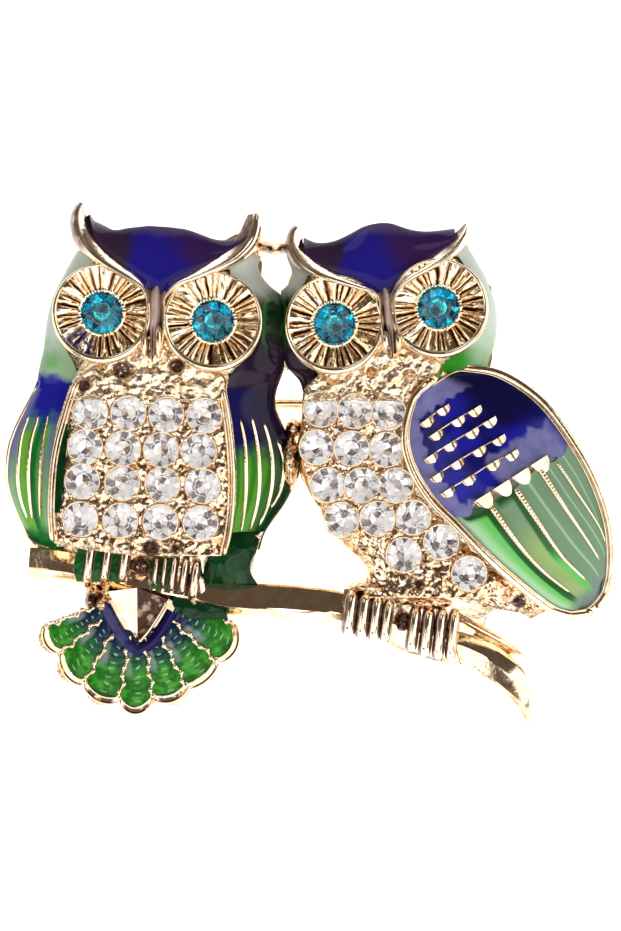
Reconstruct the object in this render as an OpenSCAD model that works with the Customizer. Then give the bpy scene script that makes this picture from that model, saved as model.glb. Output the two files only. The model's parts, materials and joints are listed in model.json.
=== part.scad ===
// Brooch of two owls on a branch: one gold casting with sunk enamel cells,
// set stones, and a hinged pin that closes into a hook on the back.
// The brooch is drawn face up in its own plane (u right, v up, w towards the
// viewer, back plane at w = 0) and then laid down on its back by at_rest().

/* [Left owl] */
// Width of the left owl across its wings
left_w = 22.3; // [21:0.1:24]
// Height of the left owl from its claws to its ear tips
left_h = 25.7; // [24.5:0.1:27.5]
// Height of the left owl's breast over the back plane
left_d = 3.8; // [3.5:0.1:4.4]

/* [Right owl] */
// Width of the right owl's head
right_w = 16.2; // [15.2:0.1:17.2]
// Height of the right owl from its claws to its ear tips
right_h = 28.5; // [27:0.1:30.5]
// Height of the right owl's breast over the back plane
right_d = 3.8; // [3.5:0.1:4.4]
// How much lower the right owl perches than the left one
right_drop = 4.45; // [3.6:0.05:5.2]
// How far the two bodies run into each other where they meet
owl_overlap = 0.3; // [0.2:0.05:0.6]

/* [Folded wing of the right owl] */
// Length of the folded wing
wing_l = 21.4; // [20:0.1:22.6]
// Width of the folded wing
wing_w = 11.8; // [11:0.1:12.6]
// Height of the wing's crown over the back plane
wing_d = 4.5; // [4.2:0.1:5]
// How far the wing leans to the left at its shoulder
wing_lean = 32.5; // [30:0.5:35]
// Width of the gold border round the wing
wing_border = 0.45; // [0.35:0.05:0.6]

/* [Tail of the left owl] */
// Length of the middle tail feather from the middle of the fan
tail_l = 9.6; // [9:0.1:10.4]
// Angle from one tail feather to the next
feather_step = 20; // [18.5:0.5:21]
// Thickness of the tail at its tips
tail_d = 1.6; // [1.4:0.1:2]
// Width of the gold edge round a feather
feather_edge = 0.34; // [0.26:0.02:0.42]
// Height of the keel in the middle of the tail
keel_d = 2.6; // [2.2:0.1:3]

/* [Branch] */
// Half width of the branch where it is thickest
branch_r = 1.6; // [1.4:0.05:1.9]
// Height of the branch over the back plane
branch_d = 2.5; // [2.2:0.1:2.9]
// Thickness of a claw
claw_d = 0.9; // [0.75:0.05:1.05]
// How far a claw stands over the branch
claw_rise = 0.55; // [0.4:0.05:0.7]

/* [Eyes] */
// Diameter of a fluted eye disc
eye_d = 7.3; // [6.9:0.1:7.6]
// Height of the eye rims over the back plane
eye_rise = 4.4; // [4.1:0.1:4.8]
// Grooves round an eye disc
flutes = 14; // [12:1:18]
// Depth of the dish inside an eye rim
eye_dish = 0.7; // [0.5:0.05:0.9]
// Diameter of an eye stone
eye_stone_d = 3.0; // [2.8:0.05:3.2]

/* [Breast stones] */
// Diameter of a breast stone
stone_d = 2.4; // [2.2:0.05:2.5]
// Clearance of a stone in its seat
stone_gap = 0.05; // [0.04:0.01:0.08]
// Diameter of the gold grains between the stones
grain_d = 0.8; // [0.6:0.05:0.9]

/* [Enamel] */
// Thickness of the enamel
enamel_t = 0.5; // [0.4:0.05:0.6]
// Clearance of the enamel in its cell
enamel_gap = 0.05; // [0.04:0.01:0.08]
// Width of the gold lines between the strips of a wing
line_w = 0.3; // [0.24:0.02:0.36]
// How far the gold lines stand over the enamel
line_rise = 0.1; // [0.05:0.01:0.16]
// Width of the gold along an outer edge
edge_w = 0.28; // [0.22:0.02:0.36]

/* [Brows and beaks] */
// Width of a brow at its middle
brow_w = 1.1; // [0.9:0.05:1.3]
// Height of the brows over the back plane
brow_d = 4.9; // [4.6:0.1:5.3]
// Width of a beak
beak_w = 1.5; // [1.3:0.05:1.7]
// Height of a beak over the back plane
beak_d = 5.4; // [5:0.1:5.8]

/* [Pin and findings] */
// Diameter of the pin
pin_d = 0.8; // [0.7:0.05:0.9]
// Distance of the pin's middle from the back plane
pin_drop = 1.6; // [1.5:0.05:1.9]
// Length from the rivet to the middle of the hook
pin_span = 29; // [28:0.5:30]
// How far the point runs past the hook
pin_past = 1.6; // [1.2:0.1:2]
// Height of the pin line over the left owl's claws
pin_up = 10.4; // [10:0.1:10.8]
// Diameter of the pin's eye
pin_eye_d = 1.8; // [1.7:0.05:1.9]
// Diameter of the rivet
rivet_d = 0.8; // [0.7:0.05:0.9]
// Running clearance of the rivet in its bores
rivet_gap = 0.03; // [0.02:0.005:0.05]
// Width of the hinge and of the hook along the brooch's height
finding_w = 2.6; // [2.4:0.1:3]
// Wall of the hinge and of the hook
finding_t = 0.5; // [0.45:0.05:0.6]
// Radius of the round end of a finding below the pin's middle
finding_r = 1.0; // [0.95:0.05:1.1]
// Gap that the findings keep from the back of the casting
seat_gap = 0.03; // [0.02:0.01:0.05]

/* [Back] */
// Thickness of the metal over the hollow back
back_wall = 1.7; // [1.5:0.1:1.9]

/* [Hidden] */

// Working values of the drawing
clear_up = 3;
cut_down = 1;
stone_sides = 12;
seat_sides = 8;
across = [for (j = [0:6]) (1 - cos(30 * j)) / 2];
dome = 0.6;
tip_span = 0.4;

// Number helpers
function mix(a, b, t) = a + (b - a) * t;
function held(x, low, high) = min(max(x, low), high);
function column(table, k) = [for (row = table) [row[0], row[k]]];
function at_row(table, key) = [for (k = [1:len(table[0]) - 1]) lookup(key, column(table, k))];
function steps(low, high, n) = [for (i = [0:n]) mix(low, high, i / n)];
function unit(v) = v / norm(v);
// Direction across a path at one of its points
function side_of(path, i) =
    let (a = path[max(i - 1, 0)], b = path[min(i + 1, len(path) - 1)])
        unit([b.y - a.y, a.x - b.x]);
// Height over a straight line from a to b that bulges by a half wave
function arched(a, b, t, crown) = mix(a, b, t) + crown * pow(sin(180 * held(t, 0, 1)), dome);

// A lattice of points [u, v]: rows of the list is, columns of the list js
function lattice(is, js, place) = [for (i = is) [for (j = js) place(i, j)]];
// The same lattice with its border moved outwards by g
function grown(flat, g) =
    let (n = len(flat) - 1, m = len(flat[0]) - 1)
        [for (i = [0:n]) [for (j = [0:m]) flat[i][j]
            + (i == 0 ? -g * unit(flat[1][j] - flat[0][j]) : [0, 0])
            + (i == n ? g * unit(flat[n][j] - flat[n - 1][j]) : [0, 0])
            + (j == 0 ? -g * unit(flat[i][1] - flat[i][0]) : [0, 0])
            + (j == m ? g * unit(flat[i][m] - flat[i][m - 1]) : [0, 0])]];
// Rows up and columns to the right, whichever way the lattice was laid
function righted(flat) =
    let (a = flat[0][1] - flat[0][0], b = flat[1][0] - flat[0][0])
        a.x * b.y - a.y * b.x > 0 ? flat : [for (row = flat) [for (j = [len(row) - 1:-1:0]) row[j]]];

// A closed slab between a low and a high grid of points
module slab(low, high) {
    rows = len(low);
    cols = len(low[0]);
    end = rows - 1;
    far = cols - 1;
    function id(side, i, j) = (side * rows + i) * cols + j;
    points = [for (row = low) each row, for (row = high) each row];
    faces = [
        for (i = [0:rows - 2], j = [0:cols - 2])
            [id(1, i, j), id(1, i + 1, j), id(1, i + 1, j + 1), id(1, i, j + 1)],
        for (i = [0:rows - 2], j = [0:cols - 2])
            [id(0, i, j), id(0, i, j + 1), id(0, i + 1, j + 1), id(0, i + 1, j)],
        for (i = [0:rows - 2])
            [id(0, i, 0), id(0, i + 1, 0), id(1, i + 1, 0), id(1, i, 0)],
        for (i = [0:rows - 2])
            [id(0, i + 1, far), id(0, i, far), id(1, i, far), id(1, i + 1, far)],
        for (j = [0:cols - 2])
            [id(0, 0, j + 1), id(0, 0, j), id(1, 0, j), id(1, 0, j + 1)],
        for (j = [0:cols - 2])
            [id(0, end, j), id(0, end, j + 1), id(1, end, j + 1), id(1, end, j)]
    ];
    polyhedron(points, faces);
}
// A slab over a lattice: base(p) and top(p) give its heights at a point
module sheet(lattice, base, top) {
    flat = righted(lattice);
    slab([for (row = flat) [for (p = row) [p.x, p.y, base(p)]]],
         [for (row = flat) [for (p = row) [p.x, p.y, top(p)]]]);
}
// A cell of enamel sunk in a surface; a growth above zero gives the cut for it
module cell(lattice, top, grow) {
    sheet(grown(lattice, grow),
        function (p) top(p) - line_rise - enamel_t - grow,
        function (p) top(p) + (grow > 0 ? clear_up : -line_rise));
}
// A raised bead along a path of [u, v, width, height], from z = base up
round_form = [[-0.5, 0.5], [-0.25, 0.92], [0.25, 0.92], [0.5, 0.5]];
module bead(path, base, form = round_form) {
    flat = [for (i = [0:len(path) - 1]) [for (q = form)
        [path[i].x, path[i].y] + side_of(path, i) * q[0] * path[i][2]]];
    slab([for (row = flat) [for (p = row) [p.x, p.y, base]]],
         [for (i = [0:len(path) - 1]) [for (j = [0:len(form) - 1])
            [flat[i][j].x, flat[i][j].y, mix(base, path[i][3], form[j][1])]]]);
}

// Places of the two owls in the brooch's plane; shares are of half a width and of a height
right_reach = 0.9;
left_reach = 0.99;
right_u = left_w / 2 * left_reach + right_w / 2 * right_reach - owl_overlap;
function left_at(p) = [p.x * left_w / 2, p.y * left_h];
function right_at(p) = [right_u + p.x * right_w / 2, p.y * right_h - right_drop];
function left_share(p) = [p.x / left_w * 2, p.y / left_h];
function right_share(p) = [(p.x - right_u) / right_w * 2, (p.y + right_drop) / right_h];

// Left owl, rows of [up, left edge, right edge, height at the edges, height in the middle]
left_form = [
    [-0.115, -0.36, 0.46, 0.40, 0.50],
    [-0.075, -0.50, 0.50, 0.42, 0.66],
    [-0.012, -0.66, 0.60, 0.30, 0.80],
    [0.03, -0.86, 0.765, 0.30, 0.84],
    [0.09, -0.94, 0.865, 0.30, 0.86],
    [0.18, -1.00, 0.965, 0.30, 0.87],
    [0.26, -0.985, 0.99, 0.30, 0.87],
    [0.33, -0.94, 0.90, 0.32, 0.87],
    [0.40, -0.86, 0.83, 0.34, 0.87],
    [0.46, -0.80, 0.84, 0.36, 0.87],
    [0.52, -0.765, 0.88, 0.38, 0.90],
    [0.62, -0.745, 0.89, 0.40, 1.00],
    [0.71, -0.71, 0.88, 0.40, 1.02],
    [0.77, -0.64, 0.74, 0.40, 1.04],
    [0.82, -0.56, 0.75, 0.40, 1.04],
    [0.885, -0.45, 0.66, 0.42, 0.98]
];
// Right owl, the same columns
right_form = [
    [-0.105, -0.10, 0.80, 0.40, 0.50],
    [-0.06, -0.42, 0.96, 0.42, 0.66],
    [0.00, -0.36, 1.20, 0.40, 0.80],
    [0.05, -0.24, 1.36, 0.34, 0.84],
    [0.10, -0.28, 1.34, 0.34, 0.87],
    [0.16, -0.50, 1.20, 0.34, 0.87],
    [0.24, -0.68, 1.02, 0.34, 0.87],
    [0.32, -0.86, 0.84, 0.34, 0.87],
    [0.41, -0.90, 0.72, 0.34, 0.87],
    [0.48, -0.86, 0.80, 0.36, 0.87],
    [0.53, -0.76, 0.90, 0.38, 0.90],
    [0.60, -0.80, 0.95, 0.40, 1.00],
    [0.64, -1.02, 0.96, 0.42, 1.02],
    [0.75, -1.03, 0.99, 0.42, 1.04],
    [0.83, -0.92, 0.96, 0.42, 1.04],
    [0.94, -0.88, 0.66, 0.42, 0.98]
];
// Bare metal of an owl: its height at a place, its lattice, and a lattice drawn in at both sides
function form_top(form, s, d) =
    let (row = at_row(form, s.y))
        d * arched(row[2], row[2], (s.x - row[0]) / (row[1] - row[0]), row[3] - row[2]);
function left_top(p) = form_top(left_form, left_share(p), left_d);
function right_top(p) = form_top(right_form, right_share(p), right_d);
function form_lattice(form, ups, ts) = lattice(ups, ts,
    function (up, t) let (row = at_row(form, up)) [mix(row[0], row[1], t), up]);
function placed(flat, at) = [for (row = flat) [for (p = row) at(p)]];
module left_body() {
    sheet(placed(form_lattice(left_form, [for (row = left_form) row[0]], across), function (p) left_at(p)),
        function (p) 0, function (p) left_top(p));
}
module right_body() {
    sheet(placed(form_lattice(right_form, [for (row = right_form) row[0]], across), function (p) right_at(p)),
        function (p) 0, function (p) right_top(p));
}
// The hollows in the back, under the thick parts; a bar between the left owl's two carries the hook
least_hollow = 0.1;
function hollow_top(h) = max(h - back_wall, least_hollow);
hollow_ts = steps(0.18, 0.82, 4);
left_hollow_ups = [[0.06, 0.33], [0.48, 0.84]];
right_hollow_ups = [0.12, 0.88];
module left_hollows() {
    for (ups = left_hollow_ups)
        sheet(placed(form_lattice(left_form, steps(ups[0], ups[1], 2), hollow_ts), function (p) left_at(p)),
            function (p) -cut_down, function (p) hollow_top(left_top(p)));
}
module right_hollow() {
    sheet(placed(form_lattice(right_form, steps(right_hollow_ups[0], right_hollow_ups[1], 4), hollow_ts),
        function (p) right_at(p)), function (p) -cut_down, function (p) hollow_top(right_top(p)));
}

// Breasts: rows of [up, left rim, right rim]
breast_edge = 0.94;
left_breast_form = [
    [-0.02, -0.66, 0.51],
    [0.06, -0.71, 0.55],
    [0.18, -0.71, 0.57],
    [0.30, -0.68, 0.55],
    [0.42, -0.60, 0.51],
    [0.49, -0.53, 0.48]
];
right_breast_form = [
    [0.02, -0.05, 1.10],
    [0.10, -0.28, 1.06],
    [0.18, -0.50, 0.80],
    [0.25, -0.68, 0.56],
    [0.33, -0.82, 0.34],
    [0.42, -0.85, 0.20],
    [0.50, -0.80, 0.20],
    [0.555, -0.72, 0.40]
];
function left_breast_top(p) =
    let (s = left_share(p), row = at_row(left_breast_form, s.y))
        left_d * arched(breast_edge, breast_edge, (s.x - row[0]) / (row[1] - row[0]), 1 - breast_edge);
function right_breast_top(p) =
    let (s = right_share(p), row = at_row(right_breast_form, s.y))
        right_d * arched(breast_edge, 1, (s.x - row[0]) / (row[1] - row[0]), (1 - breast_edge) / 2);
function ups_of(form, n) = steps(form[0][0], form[len(form) - 1][0], n);
module left_breast() {
    sheet(placed(form_lattice(left_breast_form, ups_of(left_breast_form, 4), steps(0, 1, 6)),
        function (p) left_at(p)), function (p) left_d / 2, function (p) left_breast_top(p));
}
module right_breast() {
    sheet(placed(form_lattice(right_breast_form, ups_of(right_breast_form, 6), steps(0, 1, 5)),
        function (p) right_at(p)), function (p) right_d / 2, function (p) right_breast_top(p));
}
// The rims that part the breasts from the wings
rim_w = 0.45;
rim_rise = 0.98;
rim_ups = steps(-0.01, 0.46, 4);
module left_rims() {
    for (k = [0:1])
        bead([for (up = rim_ups)
            concat(left_at([at_row(left_breast_form, up)[k], up]), [rim_w, left_d * rim_rise])], left_d / 2);
}

// Stones of the left breast: rows of [up, first x, last x, fall to the right, stones]
left_stone_rows = [
    [0.379, -0.425, 0.348, 0.010, 4],
    [0.277, -0.460, 0.311, 0.012, 4],
    [0.176, -0.480, 0.335, 0.014, 4],
    [0.065, -0.493, 0.322, 0.012, 4]
];
// Stones of the right breast, the same columns
right_stone_rows = [
    [0.505, -0.66, -0.03, 0.008, 3],
    [0.405, -0.70, -0.05, 0.006, 3],
    [0.305, -0.60, 0.04, 0.001, 3],
    [0.213, -0.47, 0.20, -0.006, 3],
    [0.120, 0.11, 0.46, -0.034, 2],
    [0.070, 0.72, 0.72, 0, 1]
];
function stone_places(rows, at) = [for (row = rows, i = [0:row[4] - 1])
    let (t = row[4] > 1 ? i / (row[4] - 1) : 0) at([mix(row[1], row[2], t), row[0] - row[3] * t])];
left_stones = stone_places(left_stone_rows, function (p) left_at(p));
right_stones = stone_places(right_stone_rows, function (p) right_at(p));

// A stone lies on the surface, tipped as the surface is
module on_surface(top, p) {
    up = top([p.x, p.y + tip_span]) - top([p.x, p.y - tip_span]);
    over = top([p.x + tip_span, p.y]) - top([p.x - tip_span, p.y]);
    translate([p.x, p.y, top(p)])
        rotate([atan(up / tip_span / 2), -atan(over / tip_span / 2), 0])
            children();
}
// A cut stone: round girdle at z = 0, a table over it, a point below
stone_crown = 0.2;
stone_back = 0.4;
stone_table = 0.28;
module stone(d) {
    girdle = [for (i = [0:stone_sides - 1]) let (a = 360 * i / stone_sides) [cos(a), sin(a), 0] * d / 2];
    n = stone_sides / 2;
    table = [for (i = [0:n - 1]) let (a = 360 * i / n)
        [stone_table * cos(a), stone_table * sin(a), stone_crown] * d];
    t0 = 1 + stone_sides;
    function next(i) = t0 + (i + 1) % n;
    faces = [
        for (i = [0:stone_sides - 1]) [0, 1 + i, 1 + (i + 1) % stone_sides],
        for (i = [0:n - 1]) [1 + 2 * i, t0 + i, 2 + 2 * i],
        for (i = [0:n - 1]) [2 + 2 * i, t0 + i, next(i)],
        for (i = [0:n - 1]) [2 + 2 * i, next(i), 1 + (2 * i + 2) % stone_sides],
        [for (i = [n - 1:-1:0]) t0 + i]
    ];
    polyhedron(concat([[0, 0, -stone_back * d]], girdle, table), faces);
}
// The seat of a stone, open above it
module seat(d) {
    turn = 180 / seat_sides;
    r = (d / 2 + stone_gap) / cos(turn);
    rotate(turn) rotate_extrude($fn = seat_sides)
        polygon([[0, -stone_back * d - 3 * stone_gap], [r, -stone_gap], [r, clear_up], [0, clear_up]]);
}
grain_h = 0.8;
grain_top = 0.5;
module grain(d) {
    translate([0, 0, -d / 2]) cylinder(h = d * grain_h, d1 = d, d2 = d * grain_top, $fn = 4);
}
// Grains stand between the stones, at the middles of their squares
module grains(stones, rows, top) {
    starts = [for (k = 0, s = 0; k < len(rows); s = s + rows[k][4], k = k + 1) s];
    for (k = [0:len(rows) - 2], i = [0:min(rows[k][4], rows[k + 1][4]) - 2]) {
        a = starts[k] + i;
        b = starts[k + 1] + i;
        on_surface(top, (stones[a] + stones[a + 1] + stones[b] + stones[b + 1]) / 4) grain(grain_d);
    }
}

// Eyes: [x, up] of each disc, each turned outwards a little
eye_turn = 5;
eyes = [left_at([-0.35, 0.672]), left_at([0.41, 0.648]), right_at([-0.54, 0.733]), right_at([0.44, 0.776])];
module at_eye(k) {
    translate([eyes[k].x, eyes[k].y, eye_rise]) rotate([0, eye_turn * (k % 2 == 0 ? -1 : 1), 0]) children();
}
eye_stone_lift = 0.25;
module at_eye_stone(k) {
    at_eye(k) translate([0, 0, eye_stone_lift - eye_dish]) children();
}
// A fluted dish: rings of [radius share, height, depth of the grooves]
eye_swell = 0.1;
eye_form = [
    [1.0, -0.75 * eye_rise, 0],
    [1.0, -0.1, 0],
    [0.88, 0, 0],
    [0.78, -0.4 * eye_dish, 0.14],
    [0.50, -eye_dish, 0.06]
];
module eye_disc() {
    n = 2 * flutes;
    last = len(eye_form) - 1;
    points = concat(
        [for (q = eye_form, i = [0:n - 1]) let (a = 360 * i / n, r = q[0] * eye_d / 2)
            [r * cos(a), r * sin(a), q[1] + (i % 2 == 0 ? 1 : -1) * q[2]]],
        [[0, 0, eye_form[0][1]], [0, 0, eye_form[last][1] + eye_swell]]);
    faces = [
        for (s = [0:last - 1], i = [0:n - 1]) let (k = (i + 1) % n)
            [s * n + i, (s + 1) * n + i, (s + 1) * n + k, s * n + k],
        for (i = [0:n - 1]) [(last + 1) * n, i, (i + 1) % n],
        for (i = [0:n - 1]) [(last + 1) * n + 1, last * n + (i + 1) % n, last * n + i]
    ];
    polyhedron(points, faces);
}
// Edge of an eye disc at a height v, to the left (-1) or the right (1) of its middle
function eye_edge(k, v, side) =
    eyes[k].x + side * (sqrt(max(pow(eye_d / 2, 2) - pow(v - eyes[k].y, 2), 0)) + edge_w / 2);

// Crowns: rows of [x, lower edge, upper edge] of the enamel
left_crown_form = [
    [-0.42, 0.880, 0.950],
    [-0.28, 0.835, 0.922],
    [-0.12, 0.792, 0.918],
    [0.03, 0.748, 0.921],
    [0.18, 0.778, 0.920],
    [0.34, 0.805, 0.900],
    [0.47, 0.835, 0.888],
    [0.61, 0.880, 0.920]
];
right_crown_form = [
    [-0.82, 0.910, 0.965],
    [-0.62, 0.880, 0.944],
    [-0.45, 0.860, 0.952],
    [-0.28, 0.850, 0.968],
    [-0.08, 0.824, 0.989],
    [0.12, 0.862, 0.982],
    [0.32, 0.900, 0.972],
    [0.54, 0.938, 0.982]
];
crown_rise = 1.04;
crown_fall = 0.25;
// Crowns swell over the heads and fall away to their upper edge
function crown_top(form, s, d) =
    let (row = at_row(form, s.x), t = held((s.y - row[0]) / (row[1] - row[0]), 0, 1))
        d * (crown_rise - crown_fall * t * t);
function left_crown_top(p) = crown_top(left_crown_form, left_share(p), left_d);
function right_crown_top(p) = crown_top(right_crown_form, right_share(p), right_d);
function crown_lattice(form) = lattice(steps(0, 1, 2), [for (row = form) row[0]],
    function (s, x) let (row = at_row(form, x)) [x, mix(row[0], row[1], s)]);
module left_crown() {
    sheet(placed(crown_lattice(left_crown_form), function (p) left_at(p)),
        function (p) 0, function (p) left_crown_top(p));
}
module right_crown() {
    sheet(placed(crown_lattice(right_crown_form), function (p) right_at(p)),
        function (p) 0, function (p) right_crown_top(p));
}
module left_crown_cell(grow) {
    cell(grown(placed(crown_lattice(left_crown_form), function (p) left_at(p)), -edge_w),
        function (p) left_crown_top(p), grow);
}
module right_crown_cell(grow) {
    cell(grown(placed(crown_lattice(right_crown_form), function (p) right_at(p)), -edge_w),
        function (p) right_crown_top(p), grow);
}
// Brows: points of [x, up, width share, height share], from the beak to the ear tip
left_brows = [
    [[0.00, 0.732, 0.8, 1.0], [-0.14, 0.772, 1.0, 1.0], [-0.29, 0.808, 1.0, 1.0], [-0.405, 0.842, 1.1, 0.95],
     [-0.475, 0.892, 1.3, 0.84], [-0.49, 0.945, 1.2, 0.76], [-0.467, 0.995, 0.3, 0.62]],
    [[0.06, 0.732, 0.8, 1.0], [0.20, 0.765, 1.0, 1.0], [0.36, 0.795, 1.0, 0.96], [0.52, 0.824, 1.1, 0.90],
     [0.635, 0.868, 1.2, 0.84], [0.69, 0.918, 1.1, 0.76], [0.705, 0.966, 0.35, 0.62]]
];
right_brows = [
    [[-0.12, 0.810, 0.8, 1.0], [-0.28, 0.832, 1.0, 1.0], [-0.48, 0.850, 1.0, 0.96], [-0.69, 0.869, 1.1, 0.90],
     [-0.845, 0.903, 1.2, 0.84], [-0.915, 0.945, 1.1, 0.76], [-0.865, 0.986, 0.3, 0.62]],
    [[-0.04, 0.810, 0.8, 1.0], [0.09, 0.838, 1.0, 1.0], [0.25, 0.868, 1.0, 0.96], [0.41, 0.895, 1.0, 0.90],
     [0.55, 0.926, 1.0, 0.84], [0.645, 0.964, 0.9, 0.76], [0.675, 0.996, 0.3, 0.62]]
];
brow_form = [[-0.5, 0.62], [0.1, 1], [0.5, 0.62]];
module brows(lines, at) {
    for (line = lines)
        bead([for (q = line) concat(at([q[0], q[1]]), [brow_w * q[2], brow_d * q[3]])], 0, brow_form);
}
// Beaks: rows of [up, x of the middle, width share, height share]
left_beak = [
    [0.525, 0.00, 0.25, 0.80],
    [0.555, 0.00, 0.75, 0.92],
    [0.600, 0.00, 1.00, 1.00],
    [0.660, 0.01, 0.85, 1.00],
    [0.745, 0.03, 0.50, 0.92]
];
right_beak = [
    [0.640, 0.01, 0.25, 0.80],
    [0.668, 0.01, 0.75, 0.92],
    [0.705, -0.01, 1.00, 1.00],
    [0.755, -0.04, 0.85, 1.00],
    [0.818, -0.08, 0.50, 0.92]
];
beak_base = 1;
module beak(rows, at) {
    bead([for (row = rows) concat(at([row[1], row[0]]), [beak_w * row[2], beak_d * row[3]])], beak_base);
}
// Collars of rough metal between the eyes and the breasts: rows of [up, left, right]
left_collar_form = [[0.43, -0.58, 0.50], [0.48, -0.55, 0.52], [0.53, -0.48, 0.50], [0.58, -0.2, 0.25]];
right_collar_form = [[0.55, -0.76, 0.36], [0.59, -0.72, 0.46], [0.63, -0.62, 0.52], [0.67, -0.2, 0.25]];
collar_rise = 1.03;
// A growth above zero gives the room that enamel beside a collar leaves for it
module collar(form, at, d, grow) {
    flat = placed(form_lattice(form, [for (row = form) row[0]], steps(0, 1, 4)), at);
    sheet(grown(flat, grow), function (p) d / 2 - grow, function (p) d * collar_rise + grow);
}
module left_collar(grow) {
    collar(left_collar_form, function (p) left_at(p), left_d, grow);
}
module right_collar(grow) {
    collar(right_collar_form, function (p) right_at(p), right_d, grow);
}

// Wings of the left owl: between the outer edge (side 0 or 1) and the rim of the breast
left_wing_splits = [[0, 0.27, 0.53, 0.77, 1], [0, 0.42, 0.73, 1]];
wing_strip_ups = [[0.03, 0.40], [0.02, 0.36]];
wing_cap_ups = [[0.425, 0.51], [0.385, 0.50]];
function left_wing_x(side, up, f) =
    let (out = at_row(left_form, up)[side] * left_w / 2,
         inn = at_row(left_breast_form, up)[side] * left_w / 2,
         way = side == 0 ? 1 : -1)
        mix(out + way * edge_w, inn - way * (rim_w / 2 + enamel_gap), f);
function left_wing_strip(side, up, a, b, inset_a, inset_b) =
    let (way = side == 0 ? 1 : -1)
        [left_wing_x(side, up, a) + way * inset_a, left_wing_x(side, up, b) - way * inset_b];
module left_wing_cells(side, grow) {
    splits = left_wing_splits[side];
    last = len(splits) - 2;
    for (k = [0:last])
        cell(lattice(steps(wing_strip_ups[side][0], wing_strip_ups[side][1], 5), [0, 1],
            function (up, t)
                let (x = left_wing_strip(side, up, splits[k], splits[k + 1],
                    k == 0 ? 0 : line_w / 2, k == last ? 0 : line_w / 2))
                    [mix(x[0], x[1], t), up * left_h]),
            function (p) left_top(p), grow);
    cell(lattice(steps(wing_cap_ups[side][0], wing_cap_ups[side][1], 2), steps(0, 1, 3),
        function (up, t) [left_wing_x(side, up, t), up * left_h]),
        function (p) left_top(p), grow);
}
// Cheeks: strips between the outer edge of a head and an eye disc
cheek_w = 1.3;
left_cheek_ups = [steps(0.545, 0.80, 6), steps(0.52, 0.705, 5)];
right_cheek_ups = [steps(0.555, 0.63, 3), steps(0.62, 0.875, 6)];
function cheek_lattice(form, at, half_w, middle, k, side, ups) = lattice(ups, [0, 1],
    function (up, t)
        let (v = at([0, up]).y, out = middle + at_row(form, up)[side] * half_w, way = side == 0 ? 1 : -1,
             near = out + way * edge_w, far = out + way * cheek_w, rim = eye_edge(k, v, -way))
            [mix(near, side == 0 ? min(far, rim) : max(far, rim), t), v]);
module left_cheek_cell(side, grow) {
    cell(cheek_lattice(left_form, function (p) left_at(p), left_w / 2, 0, side, side, left_cheek_ups[side]),
        function (p) left_top(p), grow);
}
module right_cheek_cell(side, grow) {
    cell(cheek_lattice(right_form, function (p) right_at(p), right_w / 2, right_u, 2 + side, side,
        right_cheek_ups[side]), function (p) right_top(p), grow);
}
// Flank of the left owl, between its wing and the branch: rows of [up, left, right]
flank_form = [[-0.12, 0.38, 0.64], [-0.06, 0.42, 0.69], [0.00, 0.46, 0.735], [0.03, 0.48, 0.755]];
flank_rise = 0.62;
flank_ups = [-0.105, -0.06, -0.02];
flank_ts = steps(0.12, 0.88, 2);
module left_flank() {
    sheet(placed(form_lattice(flank_form, [for (row = flank_form) row[0]], [0, 0.5, 1]),
        function (p) left_at(p)), function (p) 0, function (p) left_d * flank_rise);
}
module left_flank_cell(grow) {
    cell(placed(form_lattice(flank_form, flank_ups, flank_ts), function (p) left_at(p)),
        function (p) left_d * flank_rise, grow);
}

// Tail: feathers fan out from a middle point; a place is [angle from straight down, distance]
tail_mid = left_at([-0.11, -0.144]);
tail_slope = [1.3, 0.95];
function tail_at(angle, r) = tail_mid + r * [sin(angle), -cos(angle)];
function tail_top(p) = tail_d * mix(tail_slope[0], tail_slope[1], norm(p - tail_mid) / tail_l);
// The tips lie on a curve that is shorter at the sides, and each tip is round
side_feather = 0.88;
tip_round = 0.92;
function feather_tip(angle, t) =
    tail_l * mix(side_feather, 1, pow(cos(angle * 1.1), 2)) * mix(tip_round, 1, cos(180 * t));
// A vee of blue enamel runs over the roots of the feathers
vee_span = [0.24, 0.42];
vee_ends = 62;
vee_w = 0.075 * tail_l;
function vee_in(angle) = tail_l * mix(vee_span[0], vee_span[1], pow(cos(angle), 2));
// One feather from r_in to its round tip; its sides and its tip can be drawn in
function feather_lattice(k, r_in, side_in, tip_in) = lattice([0, 0.55, 1], [-0.5, -0.2, 0.2, 0.5],
    function (s, t)
        let (angle = feather_step * k, r = mix(r_in, feather_tip(angle, t) - tip_in, s))
            tail_at(angle + 2 * t * (feather_step / 2 - side_in / r * 180 / PI), r));
tail_ends = [-3.5, 3.5];
tail_rings = [0.12, 0.6, 1];
module tail() {
    sheet(lattice(tail_rings, steps(tail_ends[0], tail_ends[1], 28),
        function (s, k) tail_at(feather_step * k, s * feather_tip(feather_step * round(k), k - round(k)))),
        function (p) 0, function (p) tail_top(p));
}
feather_tip_edge = 1.8 * feather_edge;
module tail_feather_cells(grow) {
    for (k = [-3:3])
        cell(feather_lattice(k, vee_in(feather_step * k) + vee_w + line_w, line_w / 2, feather_tip_edge),
            function (p) tail_top(p), grow);
}
module tail_vee_cell(grow) {
    cell(lattice([0, 1], steps(-vee_ends, vee_ends, 8),
        function (s, angle) tail_at(angle, vee_in(angle) + vee_w * s)), function (p) tail_top(p), grow);
}
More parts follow.
